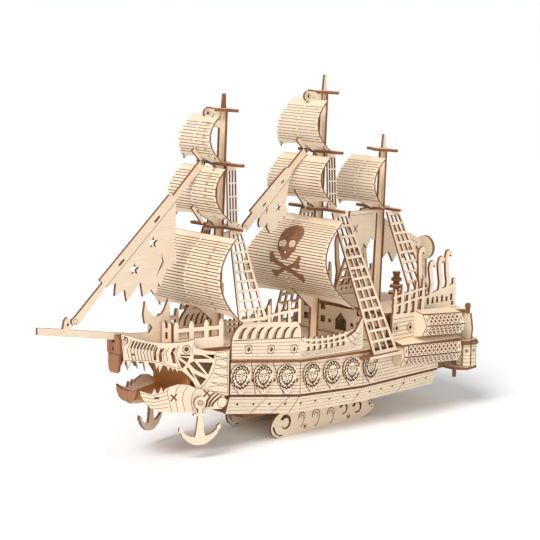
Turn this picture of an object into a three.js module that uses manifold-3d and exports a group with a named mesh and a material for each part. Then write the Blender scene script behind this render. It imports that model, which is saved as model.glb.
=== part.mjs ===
// A laser-cut plywood galleon with a beast's-head bow, on a scroll stand. Units mm, +Z up.
// +X runs aft, -Y is the port side, z = 0 is the table that the stand rests on.
import * as THREE from "three";
import { mergeVertices } from "three/addons/utils/BufferGeometryUtils.js";
import Module from "manifold-3d";

const PLY = 2; // sheet thickness
const SAIL_PLY = 1.4; // the hinged sails are thinner
const GAP = 0.3; // clearance at slots and turned pieces
const RAKE = THREE.MathUtils.degToRad(2.4); // the rig leans aft
const CENTRING_X = 17.7;
const STAND_Y = 22;
const NUDGE = 0.011;
const DECK_OUT = 1.2; // how far the deck edge stands proud as a wale
const ANCHOR_LENGTH = 31.5;
const ANCHOR_REACH = 15;

// Hull stations: x, outer half-width at deck, chine and keel edge, and their heights.
const HULL = [
  { x: -62, yd: 27.5, zd: 61.5, yc: 27, zc: 39, yk: 22.5, zk: 25.5 },
  { x: -9, yd: 39.5, zd: 56, yc: 39.5, zc: 32.8, yk: 32.5, zk: 19 },
  { x: 46, yd: 46.5, zd: 55.5, yc: 46.5, zc: 31.3, yk: 40, zk: 18.4 },
  { x: 129, yd: 44.5, zd: 54.5, yc: 44, zc: 31, yk: 38.5, zk: 18.6 },
];
const SIDES = [
  { tag: "port", s: -1 },
  { tag: "starboard", s: 1 },
];

const wasm = await Module();
wasm.setup();

// ---- solids ----------------------------------------------------------------------------
function toSolid(geometry) {
  const g = geometry.index ? geometry.toNonIndexed() : geometry.clone();
  g.deleteAttribute("normal");
  g.deleteAttribute("uv");
  const merged = mergeVertices(g, 1e-3);
  const triVerts = new Uint32Array(merged.index.array);
  const vertProperties = new Float32Array(merged.attributes.position.array);
  const make = () => new wasm.Manifold(new wasm.Mesh({ numProp: 3, vertProperties, triVerts }));
  const solid = make();
  if (solid.volume() >= 0) return solid;
  for (let i = 0; i < triVerts.length; i += 3) {
    [triVerts[i + 1], triVerts[i + 2]] = [triVerts[i + 2], triVerts[i + 1]];
  }
  return make();
}

const V3 = (x, y, z) => new THREE.Vector3(x, y, z);
const X = V3(1, 0, 0);
const Y = V3(0, 1, 0);
const Z = V3(0, 0, 1);

// A sheet cut to an outline: u runs along U, v along V, and w0..w1 is its thickness along U x V.
function sheet(outline, holes, origin, U, V, w0, w1) {
  const W = U.clone().cross(V).normalize();
  const placed = new THREE.Matrix4().makeBasis(U, V, W).setPosition(origin);
  // An outline has to run anticlockwise, or its holes are walled inside out. Cut-outs in a row are
  // nudged by hundredths of a millimetre, because edges on one line break the triangulation.
  const ring = (points, du = 0, dv = 0) => points.map((p) => new THREE.Vector2(p[0] + du, p[1] + dv));
  const slab = (points, cutouts, low, high) => {
    const edge = ring(points);
    const shape = new THREE.Shape(THREE.ShapeUtils.isClockWise(edge) ? edge.reverse() : edge);
    cutouts.forEach((h, i) => {
      shape.holes.push(new THREE.Path(ring(h, NUDGE * ((i * 3) % 7), NUDGE * ((i * 5) % 11))));
    });
    const g = new THREE.ExtrudeGeometry(shape, { depth: high - low, bevelEnabled: false,
      curveSegments: 1 });
    return toSolid(g.translate(0, 0, low).applyMatrix4(placed));
  };
  try {
    return slab(outline, holes, w0, w1);
  } catch {
    return holes.reduce((body, h) => body.subtract(slab(h, [], w0 - 1, w1 + 1)), slab(outline, [], w0, w1));
  }
}
const sheetXZ = (outline, holes, y, t = PLY) => sheet(outline, holes, V3(0, y, 0), X, Z, -t / 2, t / 2);
const sheetYZ = (outline, holes, x, t = PLY) => sheet(outline, holes, V3(x, 0, 0), Y, Z, -t / 2, t / 2);
const sheetXY = (outline, holes, z, t = PLY) => sheet(outline, holes, V3(0, 0, z), X, Y, -t / 2, t / 2);

// A closed strip through stations of four corners each.
function loft(stations) {
  const pos = [];
  const quad = (a, b, c, d) => pos.push(...a, ...b, ...c, ...a, ...c, ...d);
  const n = stations.length;
  for (let i = 0; i + 1 < n; i++) {
    const [p, q] = [stations[i], stations[i + 1]];
    for (let k = 0; k < 4; k++) {
      const m = (k + 1) % 4;
      quad(p[k], q[k], q[m], p[m]);
    }
  }
  quad(stations[0][0], stations[0][1], stations[0][2], stations[0][3]);
  const e = stations[n - 1];
  quad(e[3], e[2], e[1], e[0]);
  const g = new THREE.BufferGeometry();
  g.setAttribute("position", new THREE.Float32BufferAttribute(pos, 3));
  return toSolid(g);
}

function round(cu, cv, ru, rv = ru, n = 10, turn = 0) {
  const ring = [];
  for (let i = 0; i < n; i++) {
    const a = turn + (i * 2 * Math.PI) / n;
    ring.push([cu + ru * Math.cos(a), cv + rv * Math.sin(a)]);
  }
  return ring;
}
const box = (u0, v0, u1, v1) => [[u0, v0], [u1, v0], [u1, v1], [u0, v1]];
const lerp = (a, b, t) => a + (b - a) * t;
const mirrorY = (outline) => [...outline, ...outline.map(([u, v]) => [-u, v]).reverse()];

function drum(cx, cy, z0, z1, r, n = 12) {
  return sheet(round(cx, cy, r, r, n), [], V3(0, 0, 0), X, Y, z0, z1);
}
function largest(solid) {
  const parts = solid.decompose();
  return parts.reduce((a, b) => (b.volume() > a.volume() ? b : a));
}
const join = (first, ...rest) => rest.reduce((a, b) => a.add(b), first);
const cut = (first, ...rest) => largest(rest.reduce((a, b) => a.subtract(b), first));

// ---- the model -------------------------------------------------------------------------
// The ship is drawn about its own midship point; the outer group centres its box on the origin.
const model = new THREE.Group();
model.name = "galleon_jigsaw";
const group = new THREE.Group();
group.name = "ship";
group.position.x = CENTRING_X;
model.add(group);
const rig = new THREE.Group();
rig.name = "rig";
rig.rotation.y = RAKE;
group.add(rig);

const FINISH = {
  birch: { color: 0xe8d3ab, roughness: 0.72 },
  birch_edge: { color: 0xa9683a, roughness: 0.8 },
  birch_sail: { color: 0xe2cfa9, roughness: 0.75 },
};
function add(name, whole, finish = "birch", parent = group) {
  const solid = largest(whole); // a boolean can leave a speck behind
  const { vertProperties, triVerts } = solid.getMesh();
  const g = new THREE.BufferGeometry();
  g.setAttribute("position", new THREE.Float32BufferAttribute(vertProperties, 3));
  g.setIndex(Array.from(triVerts));
  g.computeBoundingBox();
  const centre = g.boundingBox.getCenter(V3(0, 0, 0));
  g.translate(-centre.x, -centre.y, -centre.z);
  const flat = g.toNonIndexed();
  flat.computeVertexNormals();
  const mesh = new THREE.Mesh(flat, new THREE.MeshStandardMaterial({ ...FINISH[finish], metalness: 0 }));
  mesh.name = name;
  mesh.material.name = finish;
  mesh.position.copy(centre);
  parent.add(mesh);
  return solid;
}

// ---- stand: two scroll-cut plates joined by two cross bars -------------------------------
const STAND_OUTLINE = [
  [-9.5, 0], [69, 0], [74, 0.6], [79, 2.6], [84, 5.9], [81.5, 8.8], [78.6, 7.6], [77.4, 10], [76.5, 13.5],
  [70, 17.4], [-11, 18], [-14.8, 15.6], [-17.6, 13.2], [-19.9, 10.4], [-19.6, 6], [-17.4, 2.6], [-14, 0.6],
];
const STAND_HOLES = [
  round(-6, 10.4, 4.6, 4.6, 12), round(2.4, 12, 1.6), round(52, 10.2, 4, 4, 12), round(67, 8.6, 3.4, 4, 12),
  [[-15.5, 5.2], [-13, 2.6], [-10, 1.8], [-12.4, 4.2], [-13.4, 7.2]],
];
for (const { tag, s } of SIDES) {
  add(`stand_side_${tag}`, sheetXZ(STAND_OUTLINE, STAND_HOLES, s * STAND_Y));
}
const BAR_Y = STAND_Y - PLY / 2;
const BAR = mirrorY([[BAR_Y, 3], [BAR_Y, 15], [14, 15], [8, 12.4], [0, 11.4]]).slice(0, -1);
for (const [tag, x] of [["fore", 14], ["aft", 44]]) add(`stand_crossbar_${tag}`, sheetYZ(BAR, [], x));

// ---- hull: floor, sides, lower strakes, deck, transom -------------------------------------
const floorEdge = HULL.slice(1).map((h) => [h.x === 129 ? 126 : h.x, h.yk - 3.4]);
const floorTop = [[-44, 20], ...floorEdge];
add("hull_floor", sheetXY([...floorTop, ...floorTop.map(([x, y]) => [x, -y]).reverse()], [], 20.2));

function strake(s, zTop, yTop, zLow, yLow) {
  return loft(HULL.map((h) => [
    [h.x, s * yTop(h), zTop(h)], [h.x, s * yLow(h), zLow(h)],
    [h.x, s * (yLow(h) - PLY), zLow(h)], [h.x, s * (yTop(h) - PLY), zTop(h)],
  ]));
}
const DISC_X = [-55, -38, -20, 0.5, 18, 35, 53];
function sideFrame(i, s) {
  const [a, b] = [HULL[i], HULL[i + 1]];
  const U = V3(b.x - a.x, s * (b.yd - a.yd), 0).normalize();
  return { a, b, U, out: V3(-s * 0, s, 0).applyAxisAngle(Z, Math.atan2(U.y, U.x)) };
}
for (const { tag, s } of SIDES) {
  let side = strake(s, (h) => h.zd, (h) => h.yd, (h) => h.zc + 0.15, (h) => h.yc);
  for (const x of DISC_X) {
    const i = x < HULL[1].x ? 0 : x < HULL[2].x ? 1 : 2;
    const { a, b, U } = sideFrame(i, s);
    const t = (x - a.x) / (b.x - a.x);
    const [y, z] = [s * lerp(a.yd, b.yd, t), lerp((a.zd + a.zc) / 2, (b.zd + b.zc) / 2, t)];
    const w = i === 0 ? 7.8 : 7.4;
    const [inner, outer] = s < 0 ? [-0.4, 1.5] : [-1.5, 0.4];
    const disc = sheet(round(0, 0, w, 9.6, 14), [], V3(x, y, z), U, Z, inner, outer);
    side = join(side, disc);
  }
  add(`hull_side_${tag}`, side);
  add(`hull_lower_${tag}`, strake(s, (h) => h.zc - 0.15, (h) => h.yc, (h) => h.zk, (h) => h.yk));
}

const deckStations = HULL.map((h) => {
  const [y, x] = [h.yd + DECK_OUT, h.x === 129 ? 130.5 : h.x];
  return [[x, -y, h.zd + PLY], [x, -y, h.zd], [x, y, h.zd], [x, y, h.zd + PLY]];
});
add("main_deck", loft(deckStations));
const transomTop = HULL[3].zd - 0.2;
add("transom", sheetYZ(mirrorY([[36, 22], [41.6, 31.4], [41.9, transomTop]]), [], 127.6));

// ---- head: skull plates on two raking planes -----------------------------------------------
const HEAD_A = [-136, 5.5];
const HEAD_B = [-64, 28];
function headFrame(s) {
  const U = V3(HEAD_B[0] - HEAD_A[0], s * (HEAD_B[1] - HEAD_A[1]), 0).normalize();
  return { origin: V3(HEAD_A[0], s * HEAD_A[1], 0), U };
}
// w is measured outwards from the outer face of the skull plate.
function headSheet(s, outline, holes, w0, w1) {
  const { origin, U } = headFrame(s);
  return s < 0 ? sheet(outline, holes, origin, U, Z, w0, w1) : sheet(outline, holes, origin, U, Z, -w1,
    -w0);
}
const SKULL = [
  [-1, 67], [1, 71], [-0.5, 78], [-1, 87.4], [5, 85], [12, 82.6], [20, 80.8], [30, 80], [38, 80.6],
  [46, 80],
  [50, 76.5], [54, 74.4], [75, 70.6], [74.8, 40], [67, 39], [58, 43], [53, 48], [49, 54], [45, 60],
  [41, 63.4],
  [37, 66], [34, 63], [32, 67], [29, 61], [27, 66.4], [24, 61.5], [21.5, 66.8], [18.4, 62.4], [15.8, 67.4],
  [12.6, 63], [10, 68], [7, 64.6], [4.6, 69], [2.4, 64.8],
];
const RIB_SLOTS = [12, 16.5, 21, 25.5, 30].map((u) => [
  [u, 71.5], [u + 1.7, 71.3], [u + 3.6, 77.4], [u + 1.9, 77.6],
]);
const CHEEK = [
  [[47.5, 62], [56, 58.5], [55, 67.5]], [[57.6, 56], [63, 46.5], [60.5, 65.5]],
  [[48, 71.8], [52.6, 70.6], [46.4, 65.4]], [[54.8, 70.6], [61, 69.2], [56.4, 61]],
];
const JAW = [
  [10.6, 50], [12, 45.4], [16.4, 40], [22, 35.4], [33, 32.4], [52, 31.4], [60, 32.6], [68, 36],
  [70.6, 39.4],
  [63, 40.6], [56, 43.2], [50, 47], [43, 50.6], [37, 52], [31, 50.4], [27, 46.6], [24.6, 50.6],
  [22.6, 46.4],
  [19.6, 50], [17.6, 46], [14.6, 50.4],
];
const PEG = [52.4, 38.3];
const anchorOutline = () => {
  const [u, v] = PEG;
  const foot = v + 3 - ANCHOR_LENGTH;
  const half = [
    [1.2, v - 4.2], [1.2, v - 7.2], [4.6, v - 7.6], [4.6, v - 9.4], [1.2, v - 9.6], [1.9, foot + 7.4],
    [7, foot + 7.6], [11.4, foot + 10], [ANCHOR_REACH, foot + 13.4], [ANCHOR_REACH - 0.4, foot + 7.6],
    [11, foot + 3.8], [5.6, foot + 1.2],
  ];
  const eye = round(u, v, 4, 4, 12, -Math.PI / 2 + 0.32).slice(0, 11);
  const right = half.map(([a, b]) => [u + a, b]);
  const left = half.map(([a, b]) => [u - a, b]);
  return [[u, foot], ...right.reverse(), ...eye, ...left];
};
for (const { tag, s } of SIDES) {
  const skullCuts = [...RIB_SLOTS, ...CHEEK, round(40, 73.4, 2.2, 2.2, 12)];
  add(`skull_side_${tag}`, headSheet(s, SKULL, skullCuts, -PLY, 0));
  const jawCuts = [round(...PEG, 1.7, 1.7, 12), round(20.4, 43, 1.2, 0.9, 8)];
  add(`jaw_side_${tag}`, headSheet(s, JAW, jawCuts, 0.2, 2.2));
  const peg = join(headSheet(s, round(...PEG, 1.35, 1.35, 12), [], 0.3, 5.8),
    headSheet(s, round(...PEG, 2.7, 2.7, 12), [], 5.2, 6.6));
  add(`anchor_peg_${tag}`, peg, "birch_edge");
}

function headY(x, inset) {
  const t = (x - HEAD_A[0]) / (HEAD_B[0] - HEAD_A[0]);
  return lerp(HEAD_A[1], HEAD_B[1], t) - inset;
}
const INSET = 2.6; // keeps lining and decks clear of the skull plates
const tapered = (x0, x1, inset = INSET) => [
  [x0, headY(x0, inset)], [x1, headY(x1, inset)], [x1, -headY(x1, inset)], [x0, -headY(x0, inset)],
];
const BACK_X = -90;
const backY = headY(BACK_X, INSET);
const lining = join(
  sheetXY(tapered(-134, -66), [], 69),
  sheetYZ(box(-backY, 44.5, backY, 68.5), [], BACK_X),
  sheetXY(tapered(-124, -70, INSET + 0.4), [], 43.6),
);

const snout = sheetYZ(mirrorY([[3, 62], [6.4, 64], [6.4, 84], [4, 87]]), [], -138.2);
const JAW_FRONT = mirrorY([[8.6, 40], [10.6, 44], [10, 50.6], [5, 49], [2, 50.8]]);
const spritOutline = [
  [-199.4, 99.4], [-199.4, 95], [-144, 84.6], [-132, 82.3], [-122, 77.5], [-118, 70.4], [-95.6, 70.4],
  [-94.9, 80], [-93.1, 90.5], [-92.3, 97.7], [-93.4, 104.4], [-96.5, 98.2], [-99.1, 94.9], [-103.2, 93.9],
  [-107.3, 95.2], [-111.5, 100.2], [-113.3, 105.2], [-114.7, 96.6], [-113.5, 90.5], [-108.9, 89.4],
  [-107.4, 86.9], [-109.9, 84], [-124, 85.6], [-144, 89.1], [-171.4, 94.4], [-174.4, 97], [-174.4, 101.6],
  [-176.4, 103.2], [-178.6, 101.4], [-179.8, 96],
];
const sprit = sheetXZ(spritOutline, [round(-176.2, 98.4, 1, 1, 8)], 0);
add("bowsprit_horn", sprit);
const spritRoom = sheetXZ(
  [[-200, 100.4], [-200, 94.2], [-144, 83.8], [-130, 79], [-110, 79], [-110, 92]], [], 0, PLY + 2 * GAP,
);
add("snout_front", cut(snout, spritRoom), "birch_edge");
add("jaw_front", sheetYZ(JAW_FRONT, [], -127.8), "birch_edge");
add("mouth_lining", cut(lining, sprit), "birch_edge");

// ---- forecastle: deck with a picket fence, between the raised bulwarks -------------------------
const FC_TOP = 72.4;
function picketRun(p, q, z0, z1, pickets, rails) {
  const U = V3(q[0] - p[0], q[1] - p[1], 0);
  const length = U.length();
  U.normalize();
  const [w, rail] = [2.4, 1.8];
  const at = (i) => lerp(0, length - w, i / (pickets - 1));
  const [low, high] = rails;
  const [crest, slots] = [[], []];
  for (let i = pickets - 1; i >= 0; i--) {
    const u = at(i);
    crest.push([u + w, high + rail], [u + w, z1 - 1], [u + w / 2, z1], [u, z1 - 1], [u, high + rail]);
    if (i > 0) slots.push(box(at(i - 1) + w, low + rail, u, high), box(at(i - 1) + w, z0 + rail, u, low));
  }
  return sheet([[0, z0], [length, z0], ...crest.slice(1, -1)], slots, V3(p[0], p[1], 0), U, Z, -1, 1);
}
const deckLine = tapered(-101, -64, 4).slice(0, 2);
const fcHalf = [...deckLine, [-62, 24.4], [-42, 28.8]];
let forecastle = sheetXY([...fcHalf, ...fcHalf.map(([x, y]) => [x, -y]).reverse()], [], 71.2);
for (const { s } of SIDES) {
  const corner = [-99.6, s * (headY(-99.6, 4) - 1)];
  forecastle = join(
    forecastle,
    picketRun([-99.6, s * 2.4], corner, 71.4, 91, 3, [75, 85]),
    picketRun(corner, [-65, s * (headY(-65, 4) - 1)], 71.4, 92, 7, [75, 85.5]),
  );
}
add("forecastle", cut(forecastle, sheetXZ(spritOutline, [], 0, PLY + 2 * GAP), lining));

// ---- bulwarks: tall fore part with arched ribs, low waist rail swept up aft ---------------------
function bulwark(s) {
  const seg = (i, outline, holes) => {
    const [a, b] = [HULL[i], HULL[i + 1]];
    const U = V3(b.x - a.x, s * (b.yd - a.yd), 0).normalize();
    const inset = 0.06 * i; // the aft length sits a hair inside the fore one at their joint
    const w = s < 0 ? [-PLY - inset, -inset] : [inset, PLY + inset];
    return sheet(outline, holes, V3(a.x, s * a.yd, 0), U, Z, ...w);
  };
  const [L0, L1] = [0, 1].map((i) => Math.hypot(HULL[i + 1].x - HULL[i].x, HULL[i + 1].yd - HULL[i].yd));
  const z0 = (u) => lerp(HULL[0].zd, HULL[1].zd, u / L0) + PLY + GAP;
  const tall = [
    [0.4, z0(0)], [L0, z0(L0)], [L0, 80], [L0 - 3, 84.4], [38, 85], [20, 86.4], [9, 86.4], [3.6, 83.4],
    [0.4, 77],
  ];
  const arches = [];
  for (let i = 0; i < 6; i++) {
    const u = 6 + i * 7.4;
    arches.push([[u, 77 - i * 0.8], [u + 4.4, 76.4 - i * 0.8], [u + 6.4, 80], [u + 6.6, 83.2],
      [u + 3, 82.6], [u + 0.8, 80]]);
  }
  const ports = [[13.5, 67.6], [31, 66], [49, 64.4]].map(([u, v]) => round(u, v, 1.7, 1.7, 10));
  const low = [[-0.4, z0(L0) + 0.1], [L1 - 0.8, 57.8 + GAP]];
  const top = [[L1 - 0.8, 77], [L1 - 3, 76.6], [L1 - 6, 72.4], [L1 - 10, 69.4]];
  const posts = [];
  for (let i = 7; i >= 0; i--) {
    const u = 2 + i * 5.2;
    const base = 68 + 0.2 * Math.abs(i - 4);
    posts.push([u + 1.8, base], [u + 1.8, base + 4], [u, base + 4], [u, base]);
  }
  const slots = [];
  for (let i = 0; i < 7; i++) slots.push(box(4.6 + i * 5.2, 63.6, 6.8 + i * 5.2, 66.4));
  return join(seg(0, tall, [...arches, ...ports]), seg(1, [...low, ...top, ...posts, [-0.4, 68]], slots));
}
for (const { tag, s } of SIDES) add(`bulwark_${tag}`, largest(bulwark(s)));

// ---- cabin and quarterdeck -------------------------------------------------------------------------
const CABIN_X = 72.6;
const qz = (x) => lerp(77.6, 71.6, (x - CABIN_X) / 77); // underside of the quarterdeck
const windows = [];
for (const v of [64, 73.4]) {
  for (const u of [-37, -28.5, -20, 15.6, 24.1, 32.6]) windows.push(box(u, v, u + 4.6, v + 4.8));
}
const DOOR = [[-5.4, 60.6], [5.4, 60.6], [5.4, 68], [0, 73.6], [-5.4, 68]];
const cabin = sheetYZ([[-44, 57.8], [44, 57.8], [44, 69], [41, 77.2], [-41, 77.2], [-44, 69]],
  [...windows, DOOR, round(-11, 66, 1.6), round(11, 66, 1.6)], CABIN_X);
add("cabin_front", cabin);

const Q0 = 74;
const Q1 = 128;
function quarterY(x) {
  return lerp(HULL[2].yd, HULL[3].yd, (x - HULL[2].x) / (HULL[3].x - HULL[2].x));
}
function quarterSide(s) {
  const U = V3(Q1 - Q0, s * (quarterY(Q1) - quarterY(Q0)), 0).normalize();
  const w = s < 0 ? [-PLY, 0] : [0, PLY];
  const L = Q1 - Q0;
  const cutIn = (o, h) => sheet(o, h, V3(Q0, s * quarterY(Q0), 0), U, Z, ...w);
  const floor = (u) => lerp(57.5, 56.7, u / L) + GAP;
  const panel = cutIn([[0, floor(0)], [L, floor(L)], [L, 75.6], [0, 79]],
    [round(4, 68.6, 2, 2, 10), round(19, 67.4, 2, 2, 10)]);
  const pickets = [];
  for (let i = 0; i < 5; i++) {
    const u = 0.4 + i * 7.6;
    pickets.push(cutIn([[u, 75], [u + 3.4, 75], [u + 4, 90], [u + 3.4, 96 + i], [u + 2.2, 97 + i],
      [u + 1, 90]], []));
  }
  const rails = [84, 90].map((z) => cutIn([[0.6, z], [33, z + 2.8], [33, z + 4.4], [0.6, z + 1.6]], []));
  return join(panel, ...pickets, ...rails);
}
for (const { tag, s } of SIDES) add(`quarter_side_${tag}`, quarterSide(s));

const quarterStations = [
  [CABIN_X - 1, 43.9], [Q1, 41.9], [Q1 + 0.5, 47], [150, 51], [164, 20],
].map(([x, y]) => [[x, -y, qz(x) + PLY], [x, -y, qz(x)], [x, y, qz(x)], [x, y, qz(x) + PLY]]);
const SPAR_X = 131;
const stack = join(
  drum(SPAR_X, 0, qz(SPAR_X) + 1, 96, 2.4, 8),
  ...[80, 85, 90, 95].map((z, i) => drum(SPAR_X, 0, z, z + 2, 6 - i, 10)),
);
add("quarterdeck", join(loft(quarterStations), stack));

// ---- stern galleries: two half-hexagon bays a side, with a ledge between them ------------------------
function bay(s, x0, x1, section0, section1) {
  const face = (sec, x, y0) => sec.map(([o, z]) => [x, s * (y0 + o), z]);
  const ring0 = face(section0, x0, quarterY(Math.min(x0, Q1)) + 0.3);
  const ring1 = face(section1, x1, quarterY(Math.min(x0, Q1)) + 0.3);
  const pos = [];
  const n = ring0.length;
  for (let k = 0; k < n; k++) {
    const m = (k + 1) % n;
    pos.push(...ring0[k], ...ring1[k], ...ring1[m], ...ring0[k], ...ring1[m], ...ring0[m]);
  }
  for (let k = 1; k + 1 < n; k++) {
    pos.push(...ring0[0], ...ring0[k], ...ring0[k + 1]);
    pos.push(...ring1[0], ...ring1[k + 1], ...ring1[k]);
  }
  const g = new THREE.BufferGeometry();
  g.setAttribute("position", new THREE.Float32BufferAttribute(pos, 3));
  return toSolid(g);
}
const UPPER = [[0, 79.2], [9.6, 76.8], [13.4, 69], [9.4, 61], [0, 59.4]];
const LOWER = [[0, 55.2], [9.4, 57.4], [10.6, 49], [6.8, 42], [0, 43.4]];
const drop = (sec, dz, out) => sec.map(([o, z]) => [o === 0 ? 0 : o + out, z - dz]);
function gallery(s) {
  const wedge = (sec, dz) => drop(sec, dz, 1.6);
  const upper = bay(s, 98, 139, UPPER, wedge(UPPER, 3.2));
  const lower = bay(s, 77.5, 139, LOWER, wedge(LOWER, 4.6));
  // The bays are boxes of sheet: hollow them, leaving the sides open towards the hull.
  const shrink = (sec) => sec.map(([o, z], i) => [o === 0 ? -1 : o - PLY, z + [-PLY, -PLY, 0, PLY,
    PLY][i]]);
  const upperIn = bay(s, 98 + PLY, 139 - PLY, shrink(UPPER), shrink(wedge(UPPER, 3.2)));
  const lowerIn = bay(s, 77.5 + PLY, 139 - PLY, shrink(LOWER), shrink(wedge(LOWER, 4.6)));
  const y = quarterY(98) + 0.3;
  const ledge = loft([[76.2, 57.9], [141, 54.2]].map(([x, z]) => [
    [x, s * (y + 0.6), z + 3.4], [x, s * (y + 0.6), z - 1], [x, s * (y + 10.4), z - 1],
    [x, s * (y + 10.4), z + 1],
  ]));
  return join(upper.subtract(upperIn), ledge, lower).subtract(lowerIn);
}
const deckRoom = loft(HULL.slice(2).map((h) => {
  const [x, y] = [h.x === 129 ? 131 : h.x, h.yd + DECK_OUT + 0.15];
  return [[x, -y, h.zd + PLY + 0.2], [x, -y, h.zd - 0.2], [x, y, h.zd - 0.2], [x, y, h.zd + PLY + 0.2]];
}));
const quarterRoom = loft([[CABIN_X, 44], [Q1, 42], [Q1 + 0.4, 47.3], [150.3, 51.4]].map(([x, y]) => [
  [x, -y, qz(x) + PLY + 0.2], [x, -y, qz(x) - 0.2], [x, y, qz(x) - 0.2], [x, y, qz(x) + PLY + 0.2],
]));
for (const { tag, s } of SIDES) add(`gallery_${tag}`, cut(gallery(s), deckRoom, quarterRoom));

// ---- stern: balcony with corner turrets, rail, poop rails, round sign ---------------------------
const BALCONY = [[131.4, -42], [146, -58], [158, -56.6], [162, -48], [164, 0], [162, 48], [158, 56.6],
  [146, 58], [131.4, 42]];
const turrets = SIDES.map(({ s }) => drum(152.6, s * 50.4, 31, 50, 7, 8));
const balcony = join(
  sheetXY(BALCONY, [], 30.6),
  sheetXY(BALCONY, [], 50.4),
  ...turrets,
  ...SIDES.map(({ s }) => drum(148, s * 44, 22, 30.4, 1.5, 8)),
  sheetYZ(box(-44, 30, 44, 51), [box(-36, 36, -22, 46), box(-14, 36, 14, 46), box(22, 36, 36, 46)], 160.6),
);
const galleryRoom = SIDES.map(({ s }) => sheetXY(
  [[120, s * 40], [139.4, s * 40], [139.4, s * 64], [120, s * 64]], [], 40, 60));
add("stern_balcony", cut(balcony, ...galleryRoom));

const knobs = [-52, -34.7, -17.3, 0, 17.3, 34.7, 52].map((y) => join(
  sheetYZ(box(y - 1.4, 68, y + 1.4, 75.4), [], 151.6),
  sheetYZ(round(y, 76, 2.2, 2.2, 10), [], 151.6),
));
const sternPanel = sheetYZ(mirrorY([[56, 51.7], [57, 60], [55, 70.8]]),
  [-46, -33, -7, 7, 33, 46].map((y) => box(y - 3.4, 57, y + 3.4, 66)), 151.6);
add("stern_rail", cut(join(sternPanel, ...knobs), loft(quarterStations), quarterRoom));

function poopRail(s) {
  const at = (o, h) => sheetXZ(o, h, s * 40.7);
  const L = [[108, 75.4], [149.6, 72.2], [149.6, 95.6], [146.6, 95.6], [146.6, 91.6], [108, 84.6]];
  const slots = [];
  for (let x = 112; x < 145; x += 5.2) slots.push(box(x, 79.6, x + 2.6, 84.4));
  const hooks = [[107.5, 122], [119.5, 111], [129.5, 113], [137.5, 117]].map(([x, z]) => at([
    [x, 83], [x + 3.6, 83], [x + 5.4, 95], [x + 3.6, 104], [x + 2.8, z - 5], [x + 5, z - 3],
    [x + 6.4, z - 5],
    [x + 7, z - 1.4], [x + 4, z + 0.6], [x + 1, z - 0.6], [x - 0.4, z - 5], [x + 0.6, 100], [x + 1.8, 94],
  ], []));
  return join(at(L, [...slots, round(145.6, 77.4, 1.6)]), ...hooks);
}
for (const { tag, s } of SIDES) add(`poop_rail_${tag}`, cut(poopRail(s), quarterRoom));
const signX = 162;
add("stern_sign", join(
  sheetYZ(round(0, 112, 9, 9, 20), [], signX, 2.6),
  sheetYZ([[-2.4, qz(signX) + PLY + GAP], [2.4, qz(signX) + PLY + GAP], [1.6, 104], [-1.6, 104]], [],
    signX),
));

// ---- sails: thin sheets bent round a fore-and-aft arc, wider at the foot ------------------------
const SAILS = {
  sail_fore_top: { top: [-70, 220, 13], foot: [-71.5, 190, 18.7], belly: -79.6 },
  sail_fore_mid: { top: [-70.5, 186.4, 21.2], foot: [-69, 151.6, 27.3], belly: -80.4 },
  sail_fore_lower: { top: [-67, 141.4, 30], foot: [-69.6, 88, 40.4], belly: -83.6 },
  sail_main_top: { top: [27, 230, 16.5], foot: [24, 195.8, 24], belly: 15.4 },
  sail_main_mid: { top: [26, 191.6, 22.8], foot: [25.4, 158.6, 31.2], belly: 14.2 },
  sail_main_lower: { top: [34.4, 147.8, 30], foot: [31, 88, 52], belly: 8.6 },
  sail_mizzen: { top: [89.8, 188.8, 16.5], foot: [85.6, 152.4, 22.5], belly: 76.6 },
};
// Depth of the arc at a share of the height, and the same arc as a list of points.
function sailProfile({ top, foot, belly }, n = 10) {
  const depth = (top[0] + foot[0]) / 2 - belly;
  const points = [];
  for (let i = 0; i <= n; i++) {
    const t = i / n;
    points.push([lerp(foot[0], top[0], t) - depth * 4 * t * (1 - t), lerp(foot[1], top[1], t)]);
  }
  return points;
}
function sail(spec) {
  const line = sailProfile(spec);
  const back = line.map(([x, z]) => [x + SAIL_PLY, z]).reverse();
  const arc = sheet([...line, ...back], [], V3(0, 0, 0), X, Z, -60, 60);
  const { top, foot } = spec;
  const h = top[1] - foot[1];
  const half = [
    [0, foot[1] + h * 0.1], [foot[2] * 0.55, foot[1] + h * 0.07], [foot[2], foot[1]],
    [lerp(foot[2], top[2], 0.3) - 1, foot[1] + h * 0.3], [lerp(foot[2], top[2],
    0.65) - 0.8, foot[1] + h * 0.65],
    [top[2], top[1]],
  ];
  const outline = [...half.slice(1), ...half.slice(1).map(([y, z]) => [-y, z]).reverse(), half[0]];
  return arc.intersect(sheet(outline, [], V3(0, 0, 0), Y, Z, -200, 200));
}
const sails = {};
for (const [name, spec] of Object.entries(SAILS)) sails[name] = sail(spec);

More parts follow.
